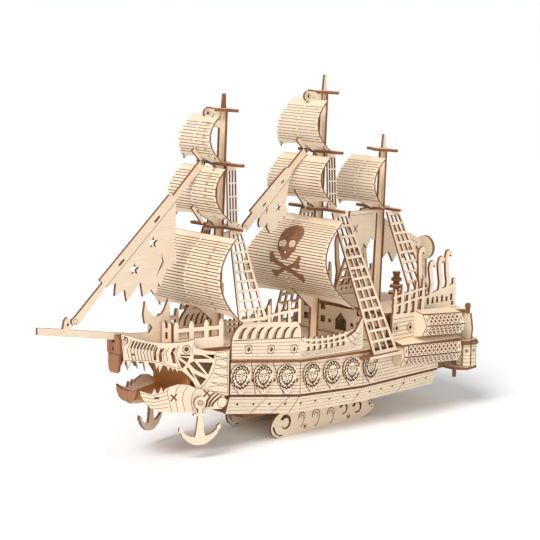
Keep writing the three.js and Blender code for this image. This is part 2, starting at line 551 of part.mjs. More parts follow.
// ---- masts: a fore-and-aft plate crossed by a narrower one, with sail brackets and top trees ----
function tree(x, z, half, depth = 5) {
  const side = [[depth + 2.6, 1.8], [depth, 5], [2.6, 8], [2.4, half - 2], [1.4, half]];
  const front = [...side, ...side.map(([a, b]) => [-a, b]).reverse()].map(([a, b]) => [x + a, b]);
  return sheetXY([...front, ...front.map(([a, b]) => [a, -b]).reverse()], [], z);
}
const MASTS = {
  mast_fore: { x: -54.5, foot: 70.4, cap: 223.5, tip: 234, trees: [[223.5, 14.5], [188, 22]],
    low: [146, 26] },
  mast_main: { x: 40.5, foot: 60.2, cap: 235, tip: 247, trees: [[235, 14], [194, 21]], low: [153.6, 28] },
  mast_mizzen: { x: 105, foot: 82.3, cap: 193.5, tip: 204.5, trees: [[193.5, 14]], low: [151.2, 22] },
};
const BRACKETS = {
  mast_fore: ["sail_fore_top", "sail_fore_mid", "sail_fore_lower"],
  mast_main: ["sail_main_top", "sail_main_mid", "sail_main_lower"],
  mast_mizzen: ["sail_mizzen"],
};
function mast(name) {
  const { x, foot, cap, tip, trees } = MASTS[name];
  const parts = [
    sheetXZ([[x - 4, foot], [x + 4, foot], [x + 3.4, cap], [x + 1.6, cap + 1], [x + 0.9, tip],
      [x - 0.9, tip],
      [x - 1.6, cap + 1], [x - 3.4, cap]], [], 0),
    sheetYZ([[-4, foot], [4, foot], [3.2, cap], [-3.2, cap]], [], x),
    ...trees.map(([z, half]) => tree(x - 1, z, half)),
  ];
  for (const key of BRACKETS[name]) {
    const { top, foot: low, belly } = SAILS[key];
    const h = top[1] - low[1];
    const [z0, z1] = [low[1] - 4, low[1] + h * 0.2];
    const reach = lerp(low[0], belly, 0.6);
    parts.push(sheetXZ([[x - 2, z0 - 3], [x - 2, z0 + 6], [x - 8, z1 - 3], [reach + 1, z1 + 2],
      [reach, z1 - 2],
      [x - 8, z0 + 2]], [], 0));
    parts.push(sheetXZ([[x - 2, top[1] - 9], [x - 2, top[1] - 4], [top[0] - 0.6, top[1] - 1.4],
      [top[0] - 2, top[1] - 4.6]], [], 0));
  }
  if (name === "mast_fore") {
    parts.push(sheetXZ([[x + 2, 135.5], [-35, 139], [-34.2, 141.4], [-34.6, 145.6], [-37, 146.4],
      [-38.6, 143.2],
      [x + 2, 140.6]], [], 0));
  }
  return join(...parts);
}

// Fore-and-aft stay strips, each with a torn sail below it.
const JIB = [
  [-176.8, 93.6], [-177, 91.6], [-175.6, 89.9], [-173.4, 89.5], [-171.2, 90.3], [-150.8, 112.1],
  [-142.3, 114.3],
  [-143, 105.8], [-134.8, 109.5], [-133, 101.5], [-121.9, 113.4], [-119.5, 103.5], [-113, 107.9],
  [-109.7, 104.1],
  [-107.8, 106.3], [-107.2, 111.8], [-104.8, 108.9], [-102.9, 114.3], [-100.1, 120.1], [-96.1, 120.2],
  [-95.5, 122.5], [-91.9, 124.7], [-92.3, 127.9], [-95.2, 139.3], [-93.5, 143.9], [-94.2, 165],
  [-70.6, 186.4],
  [-69.6, 188.6], [-70.4, 190.6], [-72.6, 191.2], [-74.8, 189.6], [-96.5, 168], [-99.7, 168.8],
  [-155.5, 117.1],
  [-153.3, 115], [-174.2, 95.2],
];
const STAR = (u, v, r) => {
  const ring = [];
  for (let i = 0; i < 10; i++) {
    const a = Math.PI / 2 + (i * Math.PI) / 5;
    const k = i % 2 ? r * 0.42 : r;
    ring.push([u + k * Math.cos(a), v + k * Math.sin(a)]);
  }
  return ring;
};
const JIB_HOLES = [
  STAR(-127.6, 122, 4.2),
  STAR(-112.7, 138.3, 4.2),
  [[-105.6, 131.6], [-104.2, 125.2], [-106.2, 122], [-109.2, 115.2], [-105.2, 121.6], [-103, 125]],
];
const MAIN_STAY = [
  [-33.6, 143.4], [-32.4, 141.2], [-29.6, 140.9], [-21.1, 148.6], [-17.5, 150.1], [-18.5, 145.8],
  [-17.4, 142.9],
  [-13.5, 142.9], [-10, 145.8], [-10.5, 143.2], [-7.5, 138.8], [-4.2, 140.2], [-1.2, 141.4], [0.4, 146.6],
  [1.7, 145.2], [3.7, 146.9], [4.8, 149.9], [7, 148.5], [8.6, 153.3], [5.9, 157.8], [7, 160], [7.6, 164.8],
  [8.3, 168.8], [8.5, 175.8], [11.9, 181], [26.8, 193.4], [26.6, 195.4], [24.7, 196.6], [22, 196.2],
  [8, 182.9],
  [5.6, 183], [-26.8, 154.9], [-24.9, 153.3], [-31.1, 147.6], [-32.9, 145.6],
];
const stays = {
  jib_stay: sheetXZ(JIB, JIB_HOLES, 0),
  main_stay: sheetXZ(MAIN_STAY, [STAR(-0.8, 155.9, 2.9), [[-12.2, 157.8], [-11.8, 155], [-12.4, 151],
    [-10.6, 155]]], 0),
};
const masts = {};
for (const name of Object.keys(MASTS)) masts[name] = mast(name);
for (const name of Object.keys(MASTS)) {
  masts[name] = cut(masts[name], ...Object.values(sails));
  add(name, masts[name], "birch", rig);
}
for (const [key, solid] of Object.entries(sails)) add(key, solid, "birch_sail", rig);
for (const [key, solid] of Object.entries(stays)) {
  add(key, cut(solid, ...Object.values(sails), ...Object.values(masts)), "birch_sail", rig);
}
for (const [name, spec] of Object.entries(MASTS)) {
  const [z, half] = spec.low;
  let plate = tree(spec.x - 1, z, half, 6.4);
  if (name !== "mast_mizzen") {
    const next = spec.trees[1][0];
    for (const { s } of SIDES) {
      // Upper shrouds: a small ladder from this tree to the next one up.
      const foot = V3(spec.x - 1.6, s * 10, z);
      const up = V3(spec.x - 1.6, s * 6.4, next - 1.4).sub(foot);
      const H = up.length();
      const ladder = (rows) => {
        const holes = [];
        for (let r = 0; r < rows; r++) {
          for (let c = 0; c < 3; c++) {
            const v = 3 + (r * (H - 5)) / rows;
            holes.push(box(1 + c * 2.6, v, 2.8 + c * 2.6, v + (H - 5) / rows - 1));
          }
        }
        return holes;
      };
      const frame = sheet([[0, 0.4], [9, 0.4], [8.6, H], [0.4, H]],
        ladder(4), foot, X, up.clone().normalize(), -0.7, 0.7);
      plate = join(plate, frame);
    }
  }
  const keep = Object.values(masts);
  add(name.replace("mast", "crosstree"), cut(plate, ...keep), "birch", rig);
}

// Mizzen banner ahead of the mast and spanker behind it.
const BANNER = [[72.6, 150], [70.6, 139], [75, 128], [79, 121], [81, 127], [85.6, 119], [88, 126],
  [92, 122], [95, 130],
  [99.8, 128], [99.8, 149.6], [76, 149.8]];
add("mizzen_banner", cut(sheetXZ(BANNER, [], 0), ...Object.values(masts), sails.sail_mizzen),
  "birch_sail", rig);
const SPANKER = [[109.6, 143], [152, 124.6], [150, 117], [146.4, 121], [143, 113.6], [138, 120.6],
  [133, 112], [127, 119],
  [121, 110], [116, 118], [109.6, 114]];
add("mizzen_spanker", cut(sheetXZ(SPANKER, [], 0), ...Object.values(masts)), "birch_sail", rig);

// ---- lower shrouds: ladders from the low trees to the sides, the main pair on channels ----------
function shroud(s, foot0, foot1, head0, head1, rows) {
  const p = (a) => V3(a[0], s * a[1], a[2]);
  const [f0, f1, h0, h1] = [foot0, foot1, head0, head1].map(p);
  const U = f1.clone().sub(f0).normalize();
  const mid = h0.clone().add(h1).multiplyScalar(0.5).sub(f0);
  const V = mid.clone().addScaledVector(U, -mid.dot(U)).normalize();
  const flat = (q) => [q.clone().sub(f0).dot(U), q.clone().sub(f0).dot(V)];
  const [a, b, d, c] = [f0, f1, h0, h1].map(flat);
  const at = (i, j) => [
    lerp(lerp(a[0], b[0], i), lerp(d[0], c[0], i), j),
    lerp(lerp(a[1], b[1], i), lerp(d[1], c[1], i), j),
  ];
  const holes = [];
  for (let r = 0; r < rows; r++) {
    for (let k = 0; k < 3; k++) {
      const [i0, i1] = [0.09 + k * 0.29, 0.09 + k * 0.29 + 0.22];
      const [j0, j1] = [0.03 + (0.95 * r) / rows, 0.03 + (0.95 * (r + 0.76)) / rows];
      holes.push([at(i0, j0), at(i1, j0), at(i1, j1), at(i0, j1)]);
    }
  }
  return sheet([at(0, 0), at(1, 0), at(1, 1), at(0, 1)], holes, f0, U, V, -0.8, 0.8);
}
for (const { tag, s } of SIDES) {
  add(`shroud_fore_${tag}`, shroud(s, [-57, 29.4, 88], [-36, 34, 88], [-51, 13, 146.4],
    [-42, 14.4, 146.4], 9));
  const channel = sheetXY([[40, s * 48.2], [75.8, s * 48], [75, s * 55.4], [43, s * 55.4]], [], 53);
  const main = shroud(s, [51, 51.4, 53], [75.6, 51.4, 53], [44.6, 15, 150.2], [58, 15, 150.2], 13);
  add(`shroud_main_${tag}`, join(main, channel));
  add(`shroud_mizzen_${tag}`, shroud(s, [105.4, 38.4, 82], [128.6, 38.4, 82], [104, 12.6, 145.2],
    [116.4, 12.6, 145.2], 9));
}

// ---- anchors: each hangs on its peg by its eye and swings along the jaw -------------------------
for (const { tag, s } of SIDES) {
  const hook = headSheet(s, anchorOutline(), [round(...PEG, 1.75, 1.75, 12)], 2.8, 4.8);
  add(`anchor_${tag}`, hook);
}

export default model;
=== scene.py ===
import bpy, bmesh, math, random
from mathutils import Matrix, Vector
from mathutils.geometry import delaunay_2d_cdt


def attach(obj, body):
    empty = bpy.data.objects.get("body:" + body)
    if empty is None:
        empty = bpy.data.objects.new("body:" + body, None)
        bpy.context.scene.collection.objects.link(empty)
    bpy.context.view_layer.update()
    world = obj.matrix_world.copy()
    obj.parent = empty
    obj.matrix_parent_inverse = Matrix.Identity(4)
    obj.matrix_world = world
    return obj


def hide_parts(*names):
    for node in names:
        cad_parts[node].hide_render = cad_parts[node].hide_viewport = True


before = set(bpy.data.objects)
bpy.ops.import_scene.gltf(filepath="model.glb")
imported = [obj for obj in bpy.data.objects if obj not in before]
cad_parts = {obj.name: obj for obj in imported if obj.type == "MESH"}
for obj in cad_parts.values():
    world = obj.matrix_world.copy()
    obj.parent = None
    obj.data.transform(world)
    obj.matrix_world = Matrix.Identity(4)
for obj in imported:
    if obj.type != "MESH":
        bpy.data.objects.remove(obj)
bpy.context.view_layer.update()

# ---- Camera, table and light -----------------------------------------------------------
# The model stands alone on a plain white table. A broad soft sun shines from ahead and above,
# a weaker lamp fills in from port, and the room itself is white.
MM = 0.001
MIDSHIP = 17.7  # sizes are taken from the ship's own midship point, this far from the origin


def at(x, y, z):
    return Vector(((x + MIDSHIP) * MM, y * MM, z * MM))


class Flow:
    """A value on its way between nodes; arithmetic on it adds Math nodes."""

    def __init__(self, wiring, socket):
        self.wiring, self.socket = wiring, socket

    def math(self, operation, *others):
        return self.wiring.put("ShaderNodeMath", {"operation": operation},
                               dict(enumerate((self, *others))))

    def __add__(self, other):
        return self.math("ADD", other)

    def __sub__(self, other):
        return self.math("SUBTRACT", other)

    def __mul__(self, other):
        return self.math("MULTIPLY", other)

    def __neg__(self):
        return self * -1.0

    def __rsub__(self, other):
        return -self + other

    def __abs__(self):
        return self.math("ABSOLUTE")

    __radd__, __rmul__ = __add__, __mul__

    def span(self, low, high, out_low=0.0, out_high=1.0):
        return self.wiring.put("ShaderNodeMapRange", None,
                               {"Value": self, "From Min": low, "From Max": high, "To Min": out_low,
                                "To Max": out_high})


class Wiring:
    """Adds nodes to a tree: put() takes a type, its settings, then its sockets."""

    def __init__(self, tree):
        self.tree = tree
        tree.nodes.clear()

    def put(self, kind, settings=None, sockets=None, outlet=0):
        node = self.tree.nodes.new(kind)
        for key, value in (settings or {}).items():
            setattr(node, key, value)
        for key, value in (sockets or {}).items():
            if isinstance(value, Flow):
                self.tree.links.new(value.socket, node.inputs[key])
            else:
                node.inputs[key].default_value = value
        return Flow(self, node.outputs[outlet]) if node.outputs else None

    def blend(self, factor, a, b):
        return self.put("ShaderNodeMix", {"data_type": "RGBA"}, {0: factor, 6: a, 7: b}, 2)

    def place(self):
        """The spot on the piece, in millimetres, as three values."""
        spot = self.put("ShaderNodeTexCoord", outlet=3)
        apart = self.put("ShaderNodeSeparateXYZ", None, {0: spot})
        return [Flow(self, o) * 1000.0 for o in apart.socket.node.outputs]

    def noise(self, x, y, z, detail=4.0, roughness=0.6):
        spot = self.put("ShaderNodeCombineXYZ", None, {0: x, 1: y, 2: z})
        return self.put("ShaderNodeTexNoise", None,
                        {"Vector": spot, "Scale": 1.0, "Detail": detail, "Roughness": roughness})


def finish(name, colour_rough_bump):
    """Makes a material from a function that returns its colour, roughness and surface height."""
    mat = bpy.data.materials.new(name)
    mat.use_nodes = True
    w = Wiring(mat.node_tree)
    colour, rough, height, depth = colour_rough_bump(w)
    bump = w.put("ShaderNodeBump", None, {"Strength": 0.4, "Distance": depth, "Height": height})
    shader = w.put("ShaderNodeBsdfPrincipled", None,
                   {"Base Color": colour, "Roughness": rough, "Normal": bump})
    w.put("ShaderNodeOutputMaterial", None, {0: shader})
    return mat


def table_white(w):
    x, y, z = w.place()
    speck = w.noise(x * 0.6, y * 0.6, z, 3.0)
    return w.blend(speck.span(0.3, 0.7), (0.955, 0.965, 0.985, 1), (0.94, 0.95, 0.97, 1)), \
        speck.span(0.3, 0.7, 0.85, 0.95), speck, 0.00005


mesh = bpy.data.meshes.new("table_top")
REACH = 60.0
mesh.from_pydata([(-REACH, -REACH, 0), (REACH, -REACH, 0), (REACH, REACH, 0), (-REACH, REACH, 0)],
                 [], [(0, 1, 2, 3)])
table = bpy.data.objects.new("table_top", mesh)
bpy.context.collection.objects.link(table)
table.data.materials.append(finish("table_white", table_white))


def soft_light(name, spot, aim, size, power, tint=(1, 1, 1)):
    data = bpy.data.lights.new(name, "AREA")
    data.shape, data.size, data.energy, data.color = "DISK", size, power, tint
    lamp = bpy.data.objects.new(name, data)
    lamp.location = spot
    lamp.rotation_euler = (Vector(aim) - Vector(spot)).to_track_quat("-Z", "Y").to_euler()
    bpy.context.collection.objects.link(lamp)


soft_light("fill", (-0.5, -1.7, 0.6), (0, 0, 0.1), 1.2, 7, (1.0, 0.99, 0.98))
sun = bpy.data.lights.new("key", "SUN")
sun.energy, sun.angle, sun.color = 2.4, math.radians(28), (1.0, 0.985, 0.96)
key = bpy.data.objects.new("key", sun)
key.rotation_euler = Vector((-0.80, -0.22, 1.0)).to_track_quat("Z", "Y").to_euler()
bpy.context.collection.objects.link(key)
world = bpy.data.worlds.new("white_room")
world.use_nodes = True
world.node_tree.nodes["Background"].inputs[0].default_value = (1, 1, 1, 1)
world.node_tree.nodes["Background"].inputs[1].default_value = 0.5
bpy.context.scene.world = world
bpy.context.scene.view_settings.view_transform = "Standard"

camera_data = bpy.data.cameras.new("camera")
camera_data.sensor_width, camera_data.lens = 36.0, 36.0 * 1756.0 / 540.0
camera = bpy.data.objects.new("camera", camera_data)
YAW, PITCH, ROLL = math.radians(44.3), math.radians(9.95), math.radians(0.7)
forward = Vector((math.sin(YAW) * math.cos(PITCH), math.cos(YAW) * math.cos(PITCH),
                  -math.sin(PITCH)))
right = Vector((math.cos(YAW), -math.sin(YAW), 0))
up = right.cross(forward)
right, up = (right * math.cos(ROLL) + up * math.sin(ROLL),
             up * math.cos(ROLL) - right * math.sin(ROLL))
camera.matrix_world = Matrix.Translation(at(-832.7, -853.0, 321.9)) @ \
    Matrix((right, up, -forward)).transposed().to_4x4()
bpy.context.collection.objects.link(camera)
bpy.context.scene.camera = camera

# ---- Stand -----------------------------------------------------------------------------
# Two scroll-cut plates of 2 mm birch plywood stand on edge and are joined by two cross bars.
# A laser cuts every sheet: faces stay pale, and cut edges and engraved lines are burnt brown.
PLY = 2.0
CREAM, WHEAT, HONEY = (0.87, 0.725, 0.545, 1), (0.80, 0.63, 0.445, 1), (0.56, 0.35, 0.19, 1)
BURN, CHAR = (0.27, 0.098, 0.034, 1), (0.075, 0.026, 0.010, 1)


def birch(grain, pale=CREAM, deep=WHEAT, scorch=None):
    """Bare birch face: fine grain along one axis, soft patches and a few darker growth lines."""
    def wood(w):
        x, y, z = w.place()
        across, along = 1.3, 0.04
        sx, sy, sz = (along if a == grain else across for a in "xyz")
        streak = w.noise(x * sx, y * sy, z * sz, 5.0, 0.62)
        patch = w.noise(x * 0.03, y * 0.03, z * 0.03, 2.0)
        ring = (streak * 4.0 + patch * 3.0).math("FRACT")
        line = ring.span(0.40, 0.5) * ring.span(0.60, 0.5)
        colour = w.blend(streak.span(0.36, 0.68) * 0.7 + patch.span(0.35, 0.7) * 0.3, pale, deep)
        colour = w.blend(line * 0.20, colour, HONEY)
        if scorch:
            colour = w.blend(scorch(w, x, y, z), colour, (0.33, 0.15, 0.06, 1))
        return colour, streak.span(0.3, 0.7, 0.50, 0.68), streak * 0.4 - line * 0.3, 0.0002
    return wood


def scorched(light=BURN, dark=CHAR, reach=0.6):
    """Laser-cut edge: brown, with darker scorch marks."""
    def burn(w):
        x, y, z = w.place()
        mark = w.noise(x * 0.5, y * 0.5, z * 0.5, 4.0, 0.65)
        colour = w.blend(mark.span(0.38, 0.66) * reach, light, dark)
        return colour, mark.span(0.3, 0.7, 0.6, 0.8), mark, 0.0001
    return burn


FACE_X = finish("birch_grain_fore_and_aft", birch("x"))
FACE_Y = finish("birch_grain_athwart", birch("y"))
FACE_Z = finish("birch_grain_upright", birch("z"))
EDGE = finish("laser_cut_edge", scorched())
GROOVE = finish("engraved_line", scorched((0.17, 0.066, 0.028, 1)))
FORE_AND_AFT, ATHWART = (FACE_X, EDGE, GROOVE), (FACE_Y, EDGE, GROOVE)


def flat(origin, along, up, turn=None):
    """Places a flat sheet: u runs along it, v up it, and w out of its middle."""
    U, V = Vector(along).normalized(), Vector(up).normalized()
    W, start = U.cross(V), Vector(origin)

    def place(u, v, w):
        p = start + U * u + V * v + W * w
        return at(*(turn @ p if turn else p))
    return place


def stroke(points, width, closed=False):
    """An engraved line of even width, as four-sided cells along its course."""
    pts = [Vector(p) for p in points]
    if closed:
        pts.append(pts[0])
    cells = []
    for a, b in zip(pts, pts[1:]):
        d = (b - a).normalized()
        n, e = Vector((-d.y, d.x)) * width / 2, d * width * 0.3
        cells.append([a - n - e, b - n + e, b + n + e, a + n - e])
    return cells


def oval(cu, cv, ru, rv=None, n=14, turn=0.0):
    rv = rv or ru
    return [(cu + ru * math.cos(turn + k * math.tau / n),
             cv + rv * math.sin(turn + k * math.tau / n)) for k in range(n)]


def crescent(cu, cv, r, a0, a1, thick, tail=0.15, n=8):
    """A curved wedge: an arc from a0 to a1 in degrees, thick at its start, thin at its end."""
    outer, inner = [], []
    for k in range(n + 1):
        t = k / n
        a, half = math.radians(a0 + (a1 - a0) * t), thick / 2 * ((1 - t) ** 0.7 + tail)
        for side, far in ((outer, r + half), (inner, r - half)):
            side.append((cu + far * math.cos(a), cv + far * math.sin(a)))
    return outer + inner[::-1]


def box(u0, v0, u1, v1):
    return [(u0, v0), (u1, v0), (u1, v1), (u0, v1)]


def anticlockwise(ring):
    area = sum(p[0] * q[1] - q[0] * p[1] for p, q in zip(ring, [*ring[1:], ring[0]]))
    return ring if area > 0 else ring[::-1]


def mirrored(half):
    """A symmetrical outline from its right half, listed from one end to the other."""
    return [*half, *((-u, v) for u, v in reversed(half))]


def cut_sheet(name, place, solids, holes=(), engraved=(), low=-PLY / 2, high=PLY / 2, depth=0.25,
              mats=None, guides=(), spared=()):
    """Cuts one sheet: the union of some outlines, less its holes, with engraved cells let in;
    cells that are spared stay bare inside an engraved field."""
    rings = [anticlockwise(r) for r in (*solids, *holes, *engraved, *spared)]
    first_hole, first_line = len(solids), len(solids) + len(holes)
    first_spared = first_line + len(engraved)
    verts, faces, edges = [], [], []
    for ring in rings:
        faces.append(list(range(len(verts), len(verts) + len(ring))))
        verts += [Vector((p[0], p[1])) for p in ring]
    for a, b in guides:
        edges.append((len(verts), len(verts) + 1))
        verts += [Vector(a), Vector(b)]
    spots, _, tris, _, _, owners = delaunay_2d_cdt(verts, edges, faces, 0, 1e-5)
    kind = {}
    for i, who in enumerate(owners):
        solid = any(k < first_hole for k in who)
        if solid and not any(first_hole <= k < first_line for k in who):
            lined = any(first_line <= k < first_spared for k in who)
            kind[i] = 2 if lined and not any(k >= first_spared for k in who) else 1
    body, made = bmesh.new(), {}

    def corner(i, level):
        if (i, level) not in made:
            w = (low, high - depth, high)[level]
            made[i, level] = body.verts.new(place(spots[i].x, spots[i].y, w))
        return made[i, level]

    def face(points, slot):
        try:
            body.faces.new(points).material_index = slot
        except ValueError:
            pass

    sides = {}
    for i, k in kind.items():
        t, top = tris[i], 1 if k == 2 else 2
        face([corner(j, top) for j in t], 2 if k == 2 else 0)
        face([corner(j, 0) for j in reversed(t)], 0)
        for a, b in zip(t, list(t[1:]) + [t[0]]):
            sides.setdefault((min(a, b), max(a, b)), []).append((a, b, k, top))
    for pair in sides.values():
        a, b, k, top = pair[0]
        if len(pair) == 1:
            rise_b = [corner(b, 1)] if top == 2 and (b, 1) in made else []
            rise_a = [corner(a, 1)] if top == 2 and (a, 1) in made else []
            face([corner(b, 0), corner(a, 0), *rise_a, corner(a, top), corner(b, top), *rise_b], 1)
        elif k != pair[1][2]:
            if k == 2:
                a, b = b, a
            face([corner(b, 1), corner(a, 1), corner(a, 2), corner(b, 2)], 2)
    bmesh.ops.recalc_face_normals(body, faces=body.faces)
    if body.calc_volume(signed=True) < 0:
        bmesh.ops.reverse_faces(body, faces=body.faces)
    return settle(name, body, mats or FORE_AND_AFT)


def settle(name, body, mats):
    """Turns a finished mesh into an object at the origin with its materials."""
    data = bpy.data.meshes.new(name)
    for m in mats:
        data.materials.append(m)
    body.to_mesh(data)
    body.free()
    piece = bpy.data.objects.new(name, data)
    bpy.context.collection.objects.link(piece)
    return piece


def fix(piece, nodes=(), body="ship"):
    """Says which body carries a piece, and which drawn solids it stands for."""
    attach(piece, body)
    if nodes:
        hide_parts(*([nodes] if isinstance(nodes, str) else nodes))
    return piece


def skin(node, normals=(), mats=None, width=2.4):
    """Takes a solid as drawn; its sheet faces stay bare wood and its cut edges are burnt. Sheet
    faces are told by the normals given, or else by being wider than the width."""
    source = bmesh.new()
    source.from_mesh(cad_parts[node].data)
    bmesh.ops.remove_doubles(source, verts=source.verts, dist=2e-6)
    if normals:
        ns = [Vector(n).normalized() for n in normals]
        for f in source.faces:
            f.material_index = 0 if any(abs(f.normal.dot(n)) > 0.94 for n in ns) else 1
    else:
        for region, mean in flat_regions(source):
            for f in region:
                f.material_index = 0 if mean > width else 1
    return fix(settle(node + "_cut", source, mats or (FACE_X, EDGE)), node)


def flat_regions(source):
    """Groups faces that lie flat together, and gives each group's mean width in millimetres."""
    seen, groups = set(), []
    source.faces.ensure_lookup_table()
    for start in source.faces:
        if start in seen:
            continue
        stack, region = [start], []
        seen.add(start)
        while stack:
            f = stack.pop()
            region.append(f)
            for e in f.edges:
                for g in e.link_faces:
                    if g not in seen and g.normal.dot(f.normal) > 0.9995:
                        seen.add(g)
                        stack.append(g)
        inside = set(region)
        area = sum(f.calc_area() for f in region)
        rim = sum(e.calc_length() for f in region for e in f.edges
                  if sum(g in inside for g in e.link_faces) == 1)
        groups.append((region, 2 * area / max(rim, 1e-9) / MM))
    return groups


SIDES = (("port", -1), ("starboard", 1))


def upright(s, y):
    """A fore-and-aft sheet standing at y, its engraved face outboard."""
    def place(u, v, w):
        return at(u, s * (y + w), v)
    return place


STAND_EDGE = [(-9.5, 0), (69, 0), (74, 0.6), (79, 2.6), (84, 5.9), (83.2, 8.4), (81.2, 9.0),
              (79.2, 8.1), (78.0, 9.0), (77.2, 11), (76.5, 13.5), (70, 17.4), (-11, 18),
              (-14.8, 15.6), (-17.6, 13.2), (-19.4, 10.4), (-19.9, 8), (-19.4, 5.2), (-17.4, 2.6),
              (-14, 0.6)]
stand_holes = [crescent(-6, 10.2, 4.4, 150, -150, 2.6),
               crescent(-9.6, 9.4, 8.0, 185, 280, 1.5, 0.3),
               crescent(52, 10.0, 3.6, 160, -130, 2.1), crescent(66, 9.0, 4.0, 170, -140, 2.4),
               oval(13, 4.2, 1.0), oval(57, 3.4, 1.0), oval(81.3, 6.7, 0.7),
               crescent(34, 17.4, 3.2, 180, 250, 1.6)]
stand_lines = [*stroke(oval(13, 4.2, 1.7), 0.3, True), *stroke(oval(57, 3.4, 1.7), 0.3, True)]
for cu, cv, r in ((10, 11.5, 3.2), (24, 10.6, 3.8), (39, 9.4, 3.6)):
    stand_lines += [crescent(cu, cv, r, 200, -60, 0.7, 0.5),
                    crescent(cu, cv, r * 0.45, 180, -80, 0.6, 0.5),
                    crescent(cu - 5, cv - 1.0, r * 2.2, -60, 10, 0.5, 0.5)]
STAND_OUT = 22  # each plate stands this far out from the middle
for tag, s in SIDES:
    fix(cut_sheet(f"stand_plate_{tag}", upright(s, STAND_OUT), [STAND_EDGE], stand_holes,
                  stand_lines), f"stand_side_{tag}")
for tag in ("fore", "aft"):
    skin(f"stand_crossbar_{tag}", [(1, 0, 0)], (FACE_Y, EDGE))

# ---- Hull ------------------------------------------------------------------------------
# Bent strips of plywood wrap three straight runs of hull: a tall side strake with plank lines,
# and a lower one below a dark chine. The deck sheet stands proud between them as a wale.
HULL = [dict(x=-62, yd=27.5, zd=61.5, yc=27, zc=39, yk=22.5, zk=25.5),
        dict(x=-9, yd=39.5, zd=56, yc=39.5, zc=32.8, yk=32.5, zk=19),
        dict(x=46, yd=46.5, zd=55.5, yc=46.5, zc=31.3, yk=40, zk=18.4),
        dict(x=129, yd=44.5, zd=54.5, yc=44, zc=31, yk=38.5, zk=18.6)]


def hull_run(x):
    """The pair of stations that x lies between, and how far along."""
    i = 0 if x < HULL[1]["x"] else 1 if x < HULL[2]["x"] else 2
    a, b = HULL[i], HULL[i + 1]
    return a, b, (x - a["x"]) / (b["x"] - a["x"])


def hull_at(x, key):
    a, b, t = hull_run(x)
    return a[key] + (b[key] - a[key]) * t


SEAM = 0.15  # the open line between two strips, half on each


def strake(s, top, foot, tall):
    """Places a hull strip: u is the ship's length, v runs from its foot to its top."""
    def place(u, v, w):
        t = v / tall
        y = hull_at(u, "y" + foot) * (1 - t) + hull_at(u, "y" + top) * t
        z_foot, z_top = hull_at(u, "z" + foot) + SEAM, hull_at(u, "z" + top) - SEAM * (top == "c")
        z = z_foot * (1 - t) + z_top * t
        return at(u, s * (y + w), z)
    return place


SIDE_TALL, LOW_TALL = 23.4, 13.4
FORE, AFT, BENDS = HULL[0]["x"], HULL[3]["x"], (HULL[1]["x"], HULL[2]["x"])
joints = [((x, -5), (x, 40)) for x in BENDS]
planks = random.Random(7)


def plank_lines(x0, x1, levels, width=0.28, wander=0.12):
    lines = []
    for v in levels:
        x = x0
        while x < x1:
            run = planks.uniform(14, 30)
            rise = planks.uniform(-wander, wander)
            lines += stroke([(x, v + rise), (min(x + run, x1), v - rise)], width)
            x += run + planks.uniform(1.0, 3.0)
    return lines


side_lines = plank_lines(FORE + 1, AFT - 1, [k * 2.34 for k in range(1, 10)])
side_lines += stroke([(FORE, 0.35), (AFT, 0.35)], 0.7)
for x0, x1 in ((-46.6, -43.2), (-30.2, -21.6)):
    side_lines += stroke([(x0, SIDE_TALL), (x1, 0.4)], 0.6)
for x in BENDS:
    side_lines += stroke([(x, 0), (x, SIDE_TALL)], 0.5)
for x in (-45.6, -29, -11.4):
    side_lines += [oval(x, 10.8, 0.95, 1.25, 9)]
low_lines = plank_lines(FORE + 1, AFT - 1, [2.7, 5.3, 8.1, 10.7], 0.22)
low_lines += stroke([(FORE, 12.9), (AFT, 12.9)], 0.9)
for x in (-33, -16, *BENDS, 94):
    low_lines += stroke([(x, 13), (x - (10 if x < -10 else 3 if x < 0 else 4), 0.2)], 0.45)
low_holes = [oval(-55 + k * 12.4, 7.2, 1.0, 0.75, 9) for k in range(15)]
for tag, s in SIDES:
    side = cut_sheet(f"side_strake_{tag}", strake(s, "d", "c", SIDE_TALL),
                     [box(FORE, 0, AFT, SIDE_TALL)], (), side_lines, -PLY, 0, guides=joints)
    fix(side, f"hull_side_{tag}")
    lower = cut_sheet(f"lower_strake_{tag}", strake(s, "c", "k", LOW_TALL),
                      [box(FORE, 0, AFT, LOW_TALL)], low_holes, low_lines, -PLY, 0, guides=joints)
    fix(lower, f"hull_lower_{tag}")
skin("hull_floor", [(0, 0, 1)])
skin("main_deck", [(0, 0, 1)])
skin("transom", [(1, 0, 0)], (FACE_Y, EDGE))

# ---- Carved bosses ---------------------------------------------------------------------
# Seven lion masks a side, cut from plywood to the outline of a mane and beard, deeply engraved,
# and glued on along the side strake.
BOSS_X = (-55, -38, -20, 0.5, 18, 35, 53)
BOSS_THICK = 1.5


